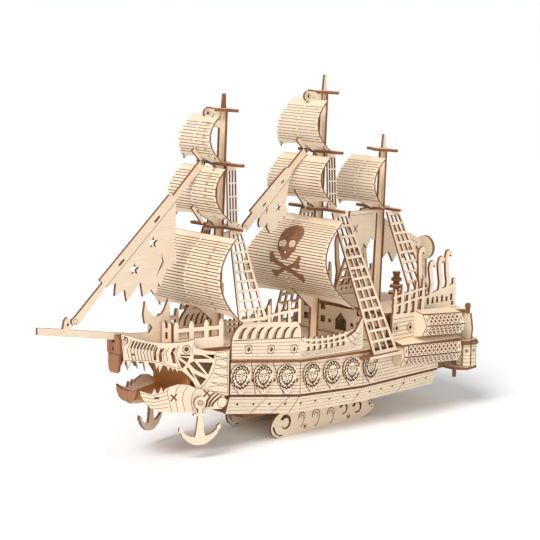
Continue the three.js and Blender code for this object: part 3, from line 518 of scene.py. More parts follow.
def lion_mask():
    half = [(0, -10.6), (1.5, -9.9), (2.6, -8.0), (4.4, -6.2), (5.6, -3.8), (6.9, -2.6), (7.4, 0.4),
            (7.9, 2.6), (7.3, 5.0), (6.6, 7.2), (4.9, 8.4), (3.2, 9.5), (1.4, 9.4), (0, 9.9)]
    edge = half + [(-u, v) for u, v in half[-2:0:-1]]
    cuts = []
    for k in range(15):
        a = math.radians(-62 + k * 304 / 14)
        cu, cv = -5.7 * math.sin(a), 1.2 + 6.7 * math.cos(a)
        lean = math.degrees(a) + 90
        cuts.append(crescent(cu, cv, 1.15, lean - 110, lean + 90, 1.3, 0.25, 5))
    for k in range(12):
        a = math.radians(-80 + k * 340 / 11)
        cu, cv = 3.7 * math.sin(a), 1.9 + 4.5 * math.cos(a)
        lean = 90 - math.degrees(a)
        cuts.append(crescent(cu, cv, 0.85, lean + 110, lean - 90, 1.05, 0.25, 5))
    for m in (-1, 1):
        cuts += [oval(m * 1.75, 2.1, 0.85, 0.5, 7),
                 crescent(m * 1.8, 2.2, 1.45, 30, 150, 0.45, 0.6, 4),
                 *stroke([(m * 0.7, 1.9), (m * 0.9, 0.2), (m * 1.4, -1.2)], 0.35),
                 crescent(m * 1.35, -2.6, 1.25, 90 - m * 20, 90 - m * 190, 0.5, 0.5, 5),
                 *stroke([(m * 1.1, -5.6), (m * 1.7, -7.6)], 0.4),
                 *stroke([(m * 2.5, -4.4), (m * 3.6, -6.0)], 0.4),
                 oval(m * 2.2, -1.6, 0.28, 0.28, 5), oval(m * 2.8, -2.2, 0.28, 0.28, 5)]
    cuts += [[(-0.95, -0.9), (0.95, -0.9), (0.3, -1.9), (-0.3, -1.9)], oval(0, -4.1, 1.2, 0.9, 8),
             *stroke([(0, -5.4), (0, -8.8)], 0.4), *stroke([(0, 4.2), (0, 2.6)], 0.35)]
    return edge, cuts


mask_edge, mask_cuts = lion_mask()
pattern = cut_sheet("lion_mask", lambda u, v, w: Vector((u, -w, v)) * MM, [mask_edge], (),
                    mask_cuts, 0, BOSS_THICK, 0.7)


def mark_cut(piece):
    """Notes on each face which finish it has, so that copies keep it."""
    kinds = piece.data.attributes.new("finish", "INT", "FACE")
    kinds.data.foreach_set("value", [p.material_index for p in piece.data.polygons])


def copier(name):
    """A tree that puts one shape at every point, turned and sized by the point's own values."""
    tree = bpy.data.node_groups.new(name, "GeometryNodeTree")
    face = tree.interface
    face.new_socket("Geometry", in_out="OUTPUT", socket_type="NodeSocketGeometry")
    face.new_socket("Geometry", in_out="INPUT", socket_type="NodeSocketGeometry")
    face.new_socket("Shape", in_out="INPUT", socket_type="NodeSocketObject")
    size = face.new_socket("Size", in_out="INPUT", socket_type="NodeSocketFloat")
    size.default_value = 1.0
    for label in ("Face", "Cut Edge", "Engraving"):
        face.new_socket(label, in_out="INPUT", socket_type="NodeSocketMaterial")
    w = Wiring(tree)
    inputs = w.put("NodeGroupInput")
    take = [Flow(w, o) for o in inputs.socket.node.outputs]
    shape = w.put("GeometryNodeObjectInfo", None, {"Object": take[1]}, 4)
    turn = w.put("GeometryNodeInputNamedAttribute", {"data_type": "FLOAT_VECTOR"}, {"Name": "turn"})
    stretch = w.put("GeometryNodeInputNamedAttribute", {"data_type": "FLOAT_VECTOR"},
                    {"Name": "stretch"})
    scale = w.put("ShaderNodeVectorMath", {"operation": "SCALE"}, {0: stretch, "Scale": take[2]})
    set_down = w.put("GeometryNodeInstanceOnPoints", None,
                     {"Points": take[0], "Instance": shape, "Rotation": turn, "Scale": scale})
    made = w.put("GeometryNodeRealizeInstances", None, {0: set_down})
    kind = w.put("GeometryNodeInputNamedAttribute", {"data_type": "INT"}, {"Name": "finish"})
    for k in range(3):
        same = w.put("FunctionNodeCompare", {"data_type": "INT", "operation": "EQUAL"},
                     {2: kind, 3: k})
        made = w.put("GeometryNodeSetMaterial", None, {"Geometry": made, "Selection": same,
                                                       "Material": take[3 + k]})
    w.put("NodeGroupOutput", None, {0: made})
    return tree


COPIER = copier("copies_at_points")


def through_tree(name, start, tree, values):
    """Runs a mesh through a node tree and returns the result as a plain mesh object."""
    bpy.context.collection.objects.link(start)
    run = start.modifiers.new("make", "NODES")
    run.node_group = tree
    for item in tree.interface.items_tree:
        if item.in_out == "INPUT" and item.name in values:
            run[item.identifier] = values[item.name]
    bpy.context.view_layer.update()
    depsgraph = bpy.context.evaluated_depsgraph_get()
    made = bpy.data.meshes.new_from_object(start.evaluated_get(depsgraph))
    start.modifiers.remove(run)
    bpy.data.objects.remove(start)
    made.name = name
    for spare in ("turn", "stretch", "finish"):
        if spare in made.attributes:
            made.attributes.remove(made.attributes[spare])
    piece = bpy.data.objects.new(name, made)
    bpy.context.collection.objects.link(piece)
    return piece


def copies(name, shape, spots, size=1.0):
    """Copies a shape to spots, each a place in metres, a turn and a stretch."""
    points = bpy.data.meshes.new(name + "_points")
    points.from_pydata([tuple(p) for p, _, _ in spots], [], [])
    for label, k in (("turn", 1), ("stretch", 2)):
        layer = points.attributes.new(label, "FLOAT_VECTOR", "POINT")
        layer.data.foreach_set("vector", [c for spot in spots for c in spot[k]])
    return through_tree(name, bpy.data.objects.new(name + "_points", points), COPIER,
                        {"Shape": shape, "Size": size, "Face": FACE_X, "Cut Edge": EDGE,
                         "Engraving": GROOVE})


mark_cut(pattern)
for tag, s in SIDES:
    spots = []
    for x in BOSS_X:
        a, b, t = hull_run(x)
        yaw = math.atan2(s * (b["yd"] - a["yd"]), b["x"] - a["x"]) + (0 if s < 0 else math.pi)
        y = s * ((hull_at(x, "yd") + hull_at(x, "yc")) / 2 - 0.02)
        spots.append((at(x, y, (hull_at(x, "zd") + hull_at(x, "zc")) / 2 + 0.4), (0, 0, yaw),
                      (1, 1, 1)))
    fix(copies(f"lion_masks_{tag}", pattern, spots))
bpy.data.objects.remove(pattern)

# ---- Bulwarks --------------------------------------------------------------------------
# One sheet a side stands on the deck edge: a tall fore part with arched ribs, ringed portholes
# and pickets on its rail, and a low waist rail that sweeps up aft.


def deck_edge(s, i, inset=0.0):
    """Places an upright sheet on the deck edge of one straight run of the hull."""
    a, b = HULL[i], HULL[i + 1]
    along = Vector((b["x"] - a["x"], b["yd"] - a["yd"]))
    d = along.normalized()

    def place(u, v, w):
        return at(a["x"] + d.x * u - d.y * (w - inset), s * (a["yd"] + d.y * u + d.x * (w - inset)),
                  v)
    return place, along.length


def run_length(i):
    return deck_edge(1, i)[1]


def picket(u, foot, top, wide, ease, drop=0.8):
    """A post with its two top corners cut off: ease is how far in, drop how far down."""
    return [(u, foot), (u + wide, foot), (u + wide, top - drop), (u + wide - ease, top),
            (u + ease, top), (u, top - drop)]


FORE_RUN, WAIST_RUN = run_length(0), run_length(1)
deck_rise = (HULL[0]["zd"] + 2.3, HULL[1]["zd"] + 2.3)
tall = [(0.4, deck_rise[0]), (FORE_RUN, deck_rise[1]), (FORE_RUN, 79), (FORE_RUN - 1.4, 82),
        (FORE_RUN - 3.6, 84.2), (44, 84.4), (34, 85.6), (20, 86.8), (12, 87.4), (9, 86.8), (6, 85),
        (3.6, 82.6), (1.6, 79.4), (0.6, 75)]
pickets = [[(8.4, 85.4), (9.4, 88.6), (22, 90.2), (38, 92.0), (FORE_RUN - 0.4, 93.4),
            (FORE_RUN - 0.4, 91.4), (38, 90.0), (22, 88.2), (10, 86.4)]]
for k in range(6):
    u = 12 + k * 8.0
    crest = 89.6 + 0.1 * u
    pickets.append(picket(u, 83, crest + 5, 2.1, 0.5))
arches = []
for k in range(7):
    u, v = 5.4 + k * 6.6, 76.8 - k * 0.55
    arches.append([(u, v), (u + 2.9, v - 0.2), (u + 3.6, v + 3), (u + 5.2, v + 5.6),
                   (u + 7.2, v + 7.0), (u + 5.4, v + 7.3), (u + 3.2, v + 6.4), (u + 1.2, v + 4),
                   (u + 0.3, v + 1.8)])
ports = [(13.5, 69.0), (31, 67.2), (49, 65.6)]
fore_holes = [*arches, *(oval(u, v, 1.35, 1.6, 10) for u, v in ports)]
fore_lines = []
for k in range(6):
    fore_lines += stroke([(0.6, deck_rise[0] + 1.6 + k * 2.2),
                          (FORE_RUN, deck_rise[1] + 1.7 + k * 2.5)], 0.26)
fore_lines += stroke([(2.2, 75.8), (FORE_RUN - 0.5, 73.2)], 0.4)
for u, v in ports:
    fore_lines += stroke(oval(u, v, 2.7, 3.1, 14), 0.4, True)
    fore_lines += [oval(u + 2.9 * math.cos(a), v + 3.4 * math.sin(a), 0.4, 0.4, 6)
                   for a in (0.8, 2.3, 3.9, 5.5)]
waist = [(-0.4, deck_rise[1]), (WAIST_RUN - 0.8, 58.1), (WAIST_RUN - 0.8, 80.2),
         (WAIST_RUN - 2.2, 79.6), (WAIST_RUN - 4, 76.4), (WAIST_RUN - 7, 72.2),
         (WAIST_RUN - 11, 69.6), (38, 67.4), (28, 66.6), (18, 66.6), (8, 67.6), (3, 69.2),
         (-0.4, 71.4)]
waist_solids = [waist]
for k in range(8):
    u, v = 2.4 + k * 5.1, 66.4 + 0.055 * (k - 4) ** 2
    waist_solids.append(picket(u, v - 1, v + 5.4, 1.7, 0.4))
rail = [(0.6, 70.8), (8, 69.2), (18, 68.4), (28, 68.5), (38, 69.5), (WAIST_RUN - 10, 72.4),
        (WAIST_RUN - 8, 74.2), (WAIST_RUN - 10.4, 73.4), (37, 71.2), (28, 70.2), (18, 70.1),
        (8, 70.9), (0.8, 72.6)]
waist_solids.append(rail)
waist_holes = [box(u, 62.9, u + 2.9, 65.8) for u in [4.9 + k * 5.1 for k in range(7)]]
waist_lines = []
for k in range(5):
    waist_lines += stroke([(0, deck_rise[1] + 1 + k * 0.9), (WAIST_RUN * 0.5, 59.4 + k * 0.8),
                           (WAIST_RUN - 9, 60 + k * 1.3), (WAIST_RUN - 2, 62 + k * 2.8)], 0.24)
for k in range(3):
    waist_lines += [crescent(WAIST_RUN - 2 - k * 1.0, 78 - k * 2.6, 9 + k, 196, 262, 0.4, 0.5)]
for tag, s in SIDES:
    fore, _ = deck_edge(s, 0)
    aft, _ = deck_edge(s, 1, 0.06)
    fix(cut_sheet(f"bulwark_fore_{tag}", fore, [tall, *pickets], fore_holes, fore_lines, -PLY, 0),
        f"bulwark_{tag}")
    fix(cut_sheet(f"bulwark_waist_{tag}", aft, waist_solids, waist_holes, waist_lines, -PLY, 0))

# ---- Head ------------------------------------------------------------------------------
# Two plates of plywood rake together into a beast's snout. Each is cut through in ribs and cheek
# struts and engraved with scales, and its toothed jaw hangs below on cross-shaped keys.
HEAD_FORE, HEAD_AFT = Vector((-136, 5.5)), Vector((-64, 28))
HEAD_RUN = (HEAD_AFT - HEAD_FORE).normalized()


def head(s):
    """Places a sheet on the raking head plane, w outboard of the plate's outer face."""
    def place(u, v, w):
        return at(HEAD_FORE.x + HEAD_RUN.x * u - HEAD_RUN.y * w,
                  s * (HEAD_FORE.y + HEAD_RUN.y * u + HEAD_RUN.x * w), v)
    return place


SNOUT = [(-1, 67), (0.6, 71), (-0.2, 78), (-1, 87.4), (4.7, 85.7), (10.9, 83.3), (17.1, 81.2),
         (24, 79.9), (30.8, 79), (38.3, 78.5), (44.7, 78.6), (51, 79.8), (50.2, 76.2), (50.8, 74.0),
         (58.7, 71.4), (66.4, 70.2), (75.4, 70.2), (75, 40), (67, 39), (58.6, 43.4), (54.6, 46.4),
         (51.8, 46.8), (49.4, 51.5), (45.9, 55.7), (41.5, 59.6), (38.9, 60.4), (37.9, 59.2),
         (36.9, 61.2), (35.6, 61.8), (34.9, 60), (33.9, 62.4), (32.6, 62.9), (31.8, 60.4),
         (30.6, 63.6), (27.8, 64.8), (25.5, 60.0), (24.8, 65.4), (23.5, 62.2), (22.4, 66.4),
         (18.2, 67.6), (15.6, 61.9), (14.2, 68.2), (11.4, 68.8), (10.4, 63.8), (9, 69), (6.2, 69.6),
         (3.7, 63.6), (2.2, 70)]
SKULL_CUTS = [[(22.8, 77.1), (24.7, 76.6), (23.2, 73.5), (23.4, 68.1), (21.5, 68.6), (21, 73.2)],
              [(26.4, 76.2), (29.1, 75.7), (27.1, 72.6), (27.4, 66.7), (25.3, 67.4), (24.8, 72.3)],
              [(35.2, 75.6), (37.2, 75.1), (35.3, 72.3), (37.2, 64.9), (34.9, 65.5), (33.3, 72.1)],
              [(39.6, 70.7), (47.4, 69.8), (47.4, 68.9), (40.6, 69.5)],
              [(38.5, 67.9), (44.2, 63.4), (41.5, 60.9)],
              [(39.2, 69.2), (46.4, 67.7), (45.2, 64.6)],
              [(49.5, 69.8), (55.8, 68.8), (61.6, 65.8), (49.7, 66.7)],
              [(57.9, 69.1), (65.0, 68.3), (64.2, 65.4)],
              [(46.6, 64.0), (49.9, 65.4), (58.6, 55.2), (50.8, 59.6)],
              [(52.9, 64.4), (63.6, 63.0), (60.2, 55.2)],
              [(44.4, 61.0), (46.0, 61.4), (51.0, 53.4), (47.4, 56.6)],
              [(49.6, 57.2), (58.8, 52.6), (54.9, 48.6)]]
EYE = (44.6, 73.7)
skull_lines = [*stroke(oval(*EYE, 2.75, 2.75, 18), 0.5, True),
               crescent(1.2, 83.0, 2.3, 100, -95, 1.0, 0.3),
               crescent(1.0, 83.1, 0.9, 130, -110, 0.7, 0.4),
               *stroke([(38.3, 75.9), (35.9, 70.7), (39.7, 61.4)], 0.35),
               *stroke([(39.4, 76.6), (37.4, 71), (41.2, 61.6)], 0.3),
               *stroke([(6.3, 73.7), (7.6, 73.5)], 1.3),
               *stroke([(50.6, 79), (49.2, 74), (48.4, 70.6)], 0.3),
               *stroke([(0.4, 70.4), (10, 69.6), (18.3, 68.5), (26.3, 66.3), (33.2, 63.4),
                        (41.2, 60.6)], 0.3),
               *stroke([(65.6, 69.2), (65.8, 64.2), (64.1, 57.2), (61.2, 53.4), (58.2, 49.3),
                        (54.7, 46.6)], 0.35),
               *stroke([(74.4, 69.4), (74.2, 41)], 0.35), *stroke([(66, 69.4), (74.4, 69.6)], 0.3)]
for k in range(8):
    u = 3.4 + k * 2.25
    skull_lines += stroke([(u + 2.7, 83.2 - k * 0.62), (u - 0.2, 77.0 - k * 0.52),
                           (u + 1.2, 70.4 - k * 0.3)], 0.55 if k else 0.4)
    skull_lines += stroke([(u + 4.0, 82.2 - k * 0.6), (u + 2.1, 78.4 - k * 0.5)], 0.9)
for u, v in ((30.9, 71.4), (28.9, 70.4)):
    skull_lines += stroke([(u + 1.0, v + 4.2), (u - 0.8, v + 0.6), (u + 0.4, v - 4.4)], 0.4)
for k in range(9):
    v = 67.4 - k * 2.9
    left = 65.6 - max(0, 60 - v) * 0.36
    skull_lines += stroke([(left, v), (74.2, v + (0.4 if k % 2 else -2.4))], 0.3)
    if k % 2 == 0:
        skull_lines += stroke([(left, v), (74.2, v - 4.6)], 0.3)
for line in ([(6.2, 69.6), (3.7, 65), (2.4, 70)], [(9, 69), (10.4, 65.4)],
             [(14.2, 68.2), (15.4, 64)]):
    skull_lines += stroke(line, 0.25)

JAW = [(10.8, 49.8), (11.7, 46.2), (14.5, 41.6), (18.5, 37.4), (24, 34.6), (35.7, 32.6), (52, 31.6),
       (60, 32.4), (64, 32.2), (68.6, 31.9), (72.6, 34.4), (73.4, 37.2), (70.4, 40.4), (63, 43.6),
       (56, 46.2), (50.8, 47.4), (45, 50.4), (38, 51.5), (31.1, 50.2), (28.6, 49.2), (27.2, 47.2),
       (25.9, 50.8), (24.2, 47.2), (22.6, 46.8), (21.2, 50.4), (19.4, 46.8), (17.3, 47.3)]
PEG = (52.4, 38.3)
JAW_FACES = (0.2, 2.2)  # inner and outer face, out from the skull plate
jaw_lines = [*stroke([(32.8, 41.0), (36.6, 44.8)], 1.1), *stroke([(32.8, 44.8), (36.6, 41.0)], 1.1),
             *stroke([(56.2, 41.6), (60.4, 45.6)], 1.1), *stroke([(56.2, 45.6), (60.4, 41.6)], 1.1),
             *stroke([(21.4, 43.9), (24.0, 43.7)], 1.5)]
for course in ([(39.4, 51.3), (36.4, 47.6), (35.6, 42.4), (37.6, 33.4)],
               [(45.2, 50.2), (41.6, 45.7), (40.8, 40), (42.8, 33)],
               [(50.8, 47.2), (47.8, 43.4), (47, 38.2), (48.6, 32.4)],
               [(30.8, 50), (30.2, 45.8), (31.6, 40.4), (33.4, 33.6)]):
    jaw_lines += stroke(course, 0.35)
for k in range(5):
    jaw_lines += stroke([(11.2 + k * 0.9, 48.4 - k * 2.7), (20.8, 45.6 - k * 2.2),
                         (30.4, 47.6 - k * 2.7)], 0.28)
for k in range(3):
    u = 64.3 + k * 2.1
    jaw_lines += [[(u, 44.1 - k * 1.5), (u - 4.1, 41.7 - k * 1.6), (u - 6.6, 38.4 - k),
                   (u - 7.4, 34), (u - 5.9, 34), (u - 4.8, 38 - k), (u - 2.7, 41 - k * 1.6),
                   (u + 0.9, 43.4 - k * 1.5)]]
jaw_lines += stroke(oval(69.4, 36.2, 3.4, 3.6, 14), 0.35, True)
for tag, s in SIDES:
    fix(cut_sheet(f"skull_plate_{tag}", head(s), [SNOUT], SKULL_CUTS,
                  [*skull_lines, oval(*EYE, 1.7, 1.7, 14)], -PLY, 0), f"skull_side_{tag}")
    fix(cut_sheet(f"jaw_plate_{tag}", head(s), [JAW], [oval(*PEG, 1.7, 1.7, 14)], jaw_lines,
                  *JAW_FACES), f"jaw_side_{tag}")

# ---- Anchors ---------------------------------------------------------------------------
# Each anchor is one flat sheet that hangs by its eye on a round pin through the jaw plate, and
# swings fore and aft on it. A flat oval head with a cut slot is pressed on the pin's end.
ANCHOR_FACES, PIN_ENDS, PIN_HEAD = (2.8, 4.8), (-0.4, 4.86), (4.88, 5.4)
EYE_RISE, ANCHOR_TALL = 3, 31.5
FOOT = PEG[1] + EYE_RISE - ANCHOR_TALL
anchor_half = [(1.3, PEG[1] - 4.2), (1.25, PEG[1] - 7.3), (2.6, PEG[1] - 6.7), (4.6, PEG[1] - 7.2),
               (4.8, PEG[1] - 8.4), (3.2, PEG[1] - 8.2), (1.4, PEG[1] - 9.2), (2.0, FOOT + 15),
               (2.8, FOOT + 9), (3.7, FOOT + 5.9), (7.4, FOOT + 6.5), (10.0, FOOT + 7.9),
               (12.2, FOOT + 9.9), (12.0, FOOT + 11.2), (14.6, FOOT + 13.3), (15, FOOT + 10.2),
               (13.7, FOOT + 9.2), (12.2, FOOT + 6.2), (9.0, FOOT + 3.2), (5.4, FOOT + 1.0),
               (2.4, FOOT + 0.1)]
ring = [(u, v) for u, v in oval(*PEG, 4.1, 4.1, 28, -math.pi / 2) if v > PEG[1] - 3.9]
anchor_edge = [(PEG[0], FOOT), *((PEG[0] + a, b) for a, b in reversed(anchor_half)), *ring,
               *((PEG[0] - a, b) for a, b in anchor_half)]
for tag, s in SIDES:
    fix(cut_sheet(f"anchor_plate_{tag}", head(s), [anchor_edge], [oval(*PEG, 1.75, 1.75, 18)], (),
                  *ANCHOR_FACES), f"anchor_{tag}", f"anchor_{tag}")
    fix(cut_sheet(f"anchor_pin_{tag}", head(s), [oval(*PEG, 1.5, 1.5, 16)], (), (), *PIN_ENDS, 0.2),
        f"anchor_peg_{tag}")
    fix(cut_sheet(f"anchor_pin_head_{tag}", head(s), [oval(*PEG, 2.25, 1.75, 18)], (),
                  [*stroke(oval(*PEG, 1.75, 1.3, 18), 0.5, True),
                   *stroke([(PEG[0] - 0.7, PEG[1]), (PEG[0] + 0.7, PEG[1])], 0.5)], *PIN_HEAD, 0.3),
        ())

# ---- Horn and mouth --------------------------------------------------------------------
# The bowsprit is a horn on the centre plane. A block closes the snout and a lip the jaw, both
# brown painted shade across the bow, and a sheet in orange-brown painted shade lines the mouth.
# Painted shade: the mouth lining gets a deep orange-brown in place of the shade and warm bounce
# light inside the mouth.
MOUTH_SHADE = finish("mouth_painted_shade", birch("y", (0.62, 0.28, 0.08, 1), (0.46, 0.19, 0.05, 1)))
# Painted shade: the snout block and jaw lip get a dark brown in place of the shade on the bow
# faces.
BOW_SHADE = finish("bow_front_painted_shade", birch("z", (0.40, 0.18, 0.075, 1), (0.27, 0.10, 0.036, 1)))
skin("bowsprit_horn", [(0, 1, 0)])
SNOUT_FACE, LIP_FACE = -138.2, -127.8
snout_half = [(1.6, 81.8), (1.6, 87), (4, 87), (6.4, 84), (6.4, 75.2), (5.4, 74.4), (5.0, 70.4),
              (5.6, 69.6), (4.6, 63.4), (3, 62)]
# The snout block and the jaw lip below it wear the dark brown painted shade.
fix(cut_sheet("snout_block", lambda u, v, w: at(SNOUT_FACE - w, u, v),
              [[(0, 81.8), *mirrored(snout_half)]], (),
              [box(-6, 74.2, 6, 74.7), oval(0, 77.6, 1.2, 1.6, 8)],
              mats=(BOW_SHADE, EDGE, GROOVE)), "snout_front")
lip_half = [(4, 41.5), (7.4, 43.2), (9.6, 46.6), (10.4, 51), (8.4, 49.8), (5, 48.8), (2, 48.6)]
fix(cut_sheet("jaw_lip", lambda u, v, w: at(LIP_FACE - w, u, v), [[(0, 41.2), *mirrored(lip_half)]],
              (), (), mats=(BOW_SHADE, EDGE, GROOVE)), "jaw_front")
# The mouth lining wears the orange-brown painted shade on every face.
skin("mouth_lining", mats=(MOUTH_SHADE, MOUTH_SHADE))

# ---- Forecastle ------------------------------------------------------------------------
# A small deck sheet lies behind the horn, slotted between the skull plates. A picket fence with
# a solid foot stands on each of its edges, cut in one piece with two rails.
DECK_Z, RAIL_FOOT = 71.2, 71.4
deck_half = [(-101, 12.44), (-64, 24.0), (-62, 24.4), (-42, 28.8)]
fix(cut_sheet("forecastle_deck", lambda u, v, w: at(u, v, DECK_Z + w),
              [[*deck_half, *((u, -v) for u, v in reversed(deck_half))]],
              [box(-102, -1.3, -92, 1.3)], (), mats=ATHWART), "forecastle")


def fence(name, start, stop, posts):
    along = Vector((stop[0] - start[0], stop[1] - start[1], 0))
    long = along.length
    wide = 3.4
    outline = [box(0, RAIL_FOOT, long, 79.6), box(0, 84.2, long, 86.8)]
    for k in range(posts):
        u = (long - wide) * k / (posts - 1)
        outline.append(picket(u, 79, 91.2, wide, wide * 0.34, 2.2))
    fix(cut_sheet(name, flat((start[0], start[1], 0), along, (0, 0, 1)), outline))


for tag, s in SIDES:
    fence(f"forecastle_front_{tag}", (-99.6, s * 2.6), (-99.6, s * 11.8), 2)
    fence(f"forecastle_rail_{tag}", (-99.0, s * 12.0), (-65, s * 22.6), 4)

# ---- Cabin and quarter sides -----------------------------------------------------------
# An upright front with windows and a pointed door closes the waist. Each side is one sheet with
# plank lines, two ringed ports and pickets held by two rails; the quarterdeck lies on both.


def traced(node, facing, spread):
    """The outline of a drawn sheet, then its holes, read from the faces that look one way."""
    source = bmesh.new()
    source.from_mesh(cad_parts[node].data)
    bmesh.ops.remove_doubles(source, verts=source.verts, dist=2e-6)
    faces = {f for f in source.faces if f.normal.dot(Vector(facing).normalized()) > 0.94}
    follow = {}
    for f in faces:
        for loop in f.loops:
            if sum(g in faces for g in loop.edge.link_faces) == 1:
                follow[loop.vert] = loop.link_loop_next.vert
    rings = []
    while follow:
        start, vert = follow.popitem()
        ring = [start]
        while vert != start and vert in follow:
            ring.append(vert)
            vert = follow.pop(vert)
        rings.append([spread(v.co / MM - Vector((MIDSHIP, 0, 0))) for v in ring])
    source.free()
    return sorted(rings, key=lambda r: -max(p[0] for p in r) + min(p[0] for p in r))


QUARTER_TAPER = 2.0


def quarter_y(x):
    """How far out the quarter wall stands: it draws in evenly towards the stern."""
    return HULL[2]["yd"] - QUARTER_TAPER * (x - HULL[2]["x"]) / (AFT - HULL[2]["x"])


QUARTER = (74, 128)
quarter_lines = []
for v0, v1 in ((60.6, 60.2), (63.4, 62.8), (66.4, 65.6), (69.4, 68.4), (72.4, 71.2), (75.2, 73.8)):
    quarter_lines += stroke([(0.8, v0), (53.4, v1)], 0.34)
PORTS = ((4, 68.6), (19, 67.4))
port_lines = []
for spot in PORTS:
    port_lines += stroke(oval(*spot, 3.4), 0.42, True) + stroke(oval(*spot, 2.5), 0.4, True)
for tag, s in SIDES:
    run = Vector((QUARTER[1] - QUARTER[0], s * (quarter_y(QUARTER[1]) - quarter_y(QUARTER[0])), 0))
    d = run.normalized()
    out = Vector((0, s, 0)) - d * (s * d.y)

    def on_quarter(u, v, w):
        p = Vector((QUARTER[0], s * quarter_y(QUARTER[0]), 0)) + d * u + out * w
        return at(p.x, p.y, v)

    rings = traced(f"quarter_side_{tag}", (0.02, s, 0), lambda p: ((p.x - QUARTER[0]) / d.x, p.z))
    fix(cut_sheet(f"quarter_side_{tag}_cut", on_quarter, [rings[0]], rings[1:],
                  quarter_lines, 0, PLY, 0.4), f"quarter_side_{tag}")
    fix(cut_sheet(f"quarter_ports_{tag}", on_quarter, [oval(*p, 3.3) for p in PORTS],
                  [oval(*p, 1.5) for p in PORTS], port_lines, PLY + 0.02, PLY + 0.5, 0.25))
skin("cabin_front", [(1, 0, 0)], (FACE_Y, EDGE))
skin("quarterdeck")

# ---- Stern galleries -------------------------------------------------------------------
# Two half-hexagon boxes a side, folded from flat panels whose long faces are cut in a basket
# weave, with end caps let in and a sloping ledge between the two.
GALLERIES = (("upper", 98, 139, 3.2, [(0, 79.2), (9.6, 76.8), (13.4, 69), (9.4, 61), (0, 59.4)]),
             ("lower", 77.5, 139, 4.6, [(0, 55.2), (9.4, 57.4), (10.6, 49), (6.8, 42), (0, 43.4)]))
FLARE = 1.6  # how much further out each box stands at its aft end
PANEL = 1.3
MARGIN = 4.2  # plain wood left at each end of a woven face, where a tab comes through
CELL, SLAT_LONG, SLAT_WIDE = 2.15, 2.6, 1.15
CAP_HALF, CAP_INSET = 0.9, 0.2  # half an end cap's thickness, and its clearance inside the box
LEDGE_OUT = 9.8
FIELD_DEPTH = 0.22
WEAVE_BASE = finish("weave_ground", scorched((0.22, 0.085, 0.035, 1), (0.12, 0.045, 0.018, 1), 0.8))


def slat_shape():
    """One short slat of the weave, with its long edges eased."""
    body = bmesh.new()
    ring = [(-0.5, 0.0), (0.5, 0.0), (0.44, FIELD_DEPTH + 0.06), (-0.44, FIELD_DEPTH + 0.06)]
    ends = [[body.verts.new((x * SLAT_LONG * MM, y * SLAT_WIDE * MM, z * MM)) for y, z in ring]
            for x in (-0.5, 0.5)]
    body.faces.new(ends[0]).material_index = 1
    body.faces.new(ends[1][::-1]).material_index = 1
    for k in range(4):
        m = (k + 1) % 4
        side = body.faces.new((ends[0][m], ends[0][k], ends[1][k], ends[1][m]))
        side.material_index = 0 if k == 2 else 1
    bmesh.ops.recalc_face_normals(body, faces=body.faces)
    return settle("slat", body, FORE_AND_AFT)


def facet(corners, inset=0.5):
    """A flat panel through four corners: its placing, its outline and its own axes."""
    a0, a1, b1, b0 = corners
    U = (a1 - a0).normalized()
    W = U.cross(b0 - a0).normalized()
    V = W.cross(U)

    def place(u, v, w):
        p = a0 + U * u + V * v + W * w
        return at(p.x, p.y, p.z)
    flat_corners = [((c - a0).dot(U), (c - a0).dot(V)) for c in corners]
    mid = Vector((sum(c[0] for c in flat_corners) / 4, sum(c[1] for c in flat_corners) / 4))
    outline = []
    for cu, cv in flat_corners:
        pull = (mid.x - cu, mid.y - cv)
        outline.append((cu + math.copysign(inset, pull[0]), cv + math.copysign(inset, pull[1])))
    return place, outline, Matrix((U, V, W)).transposed()


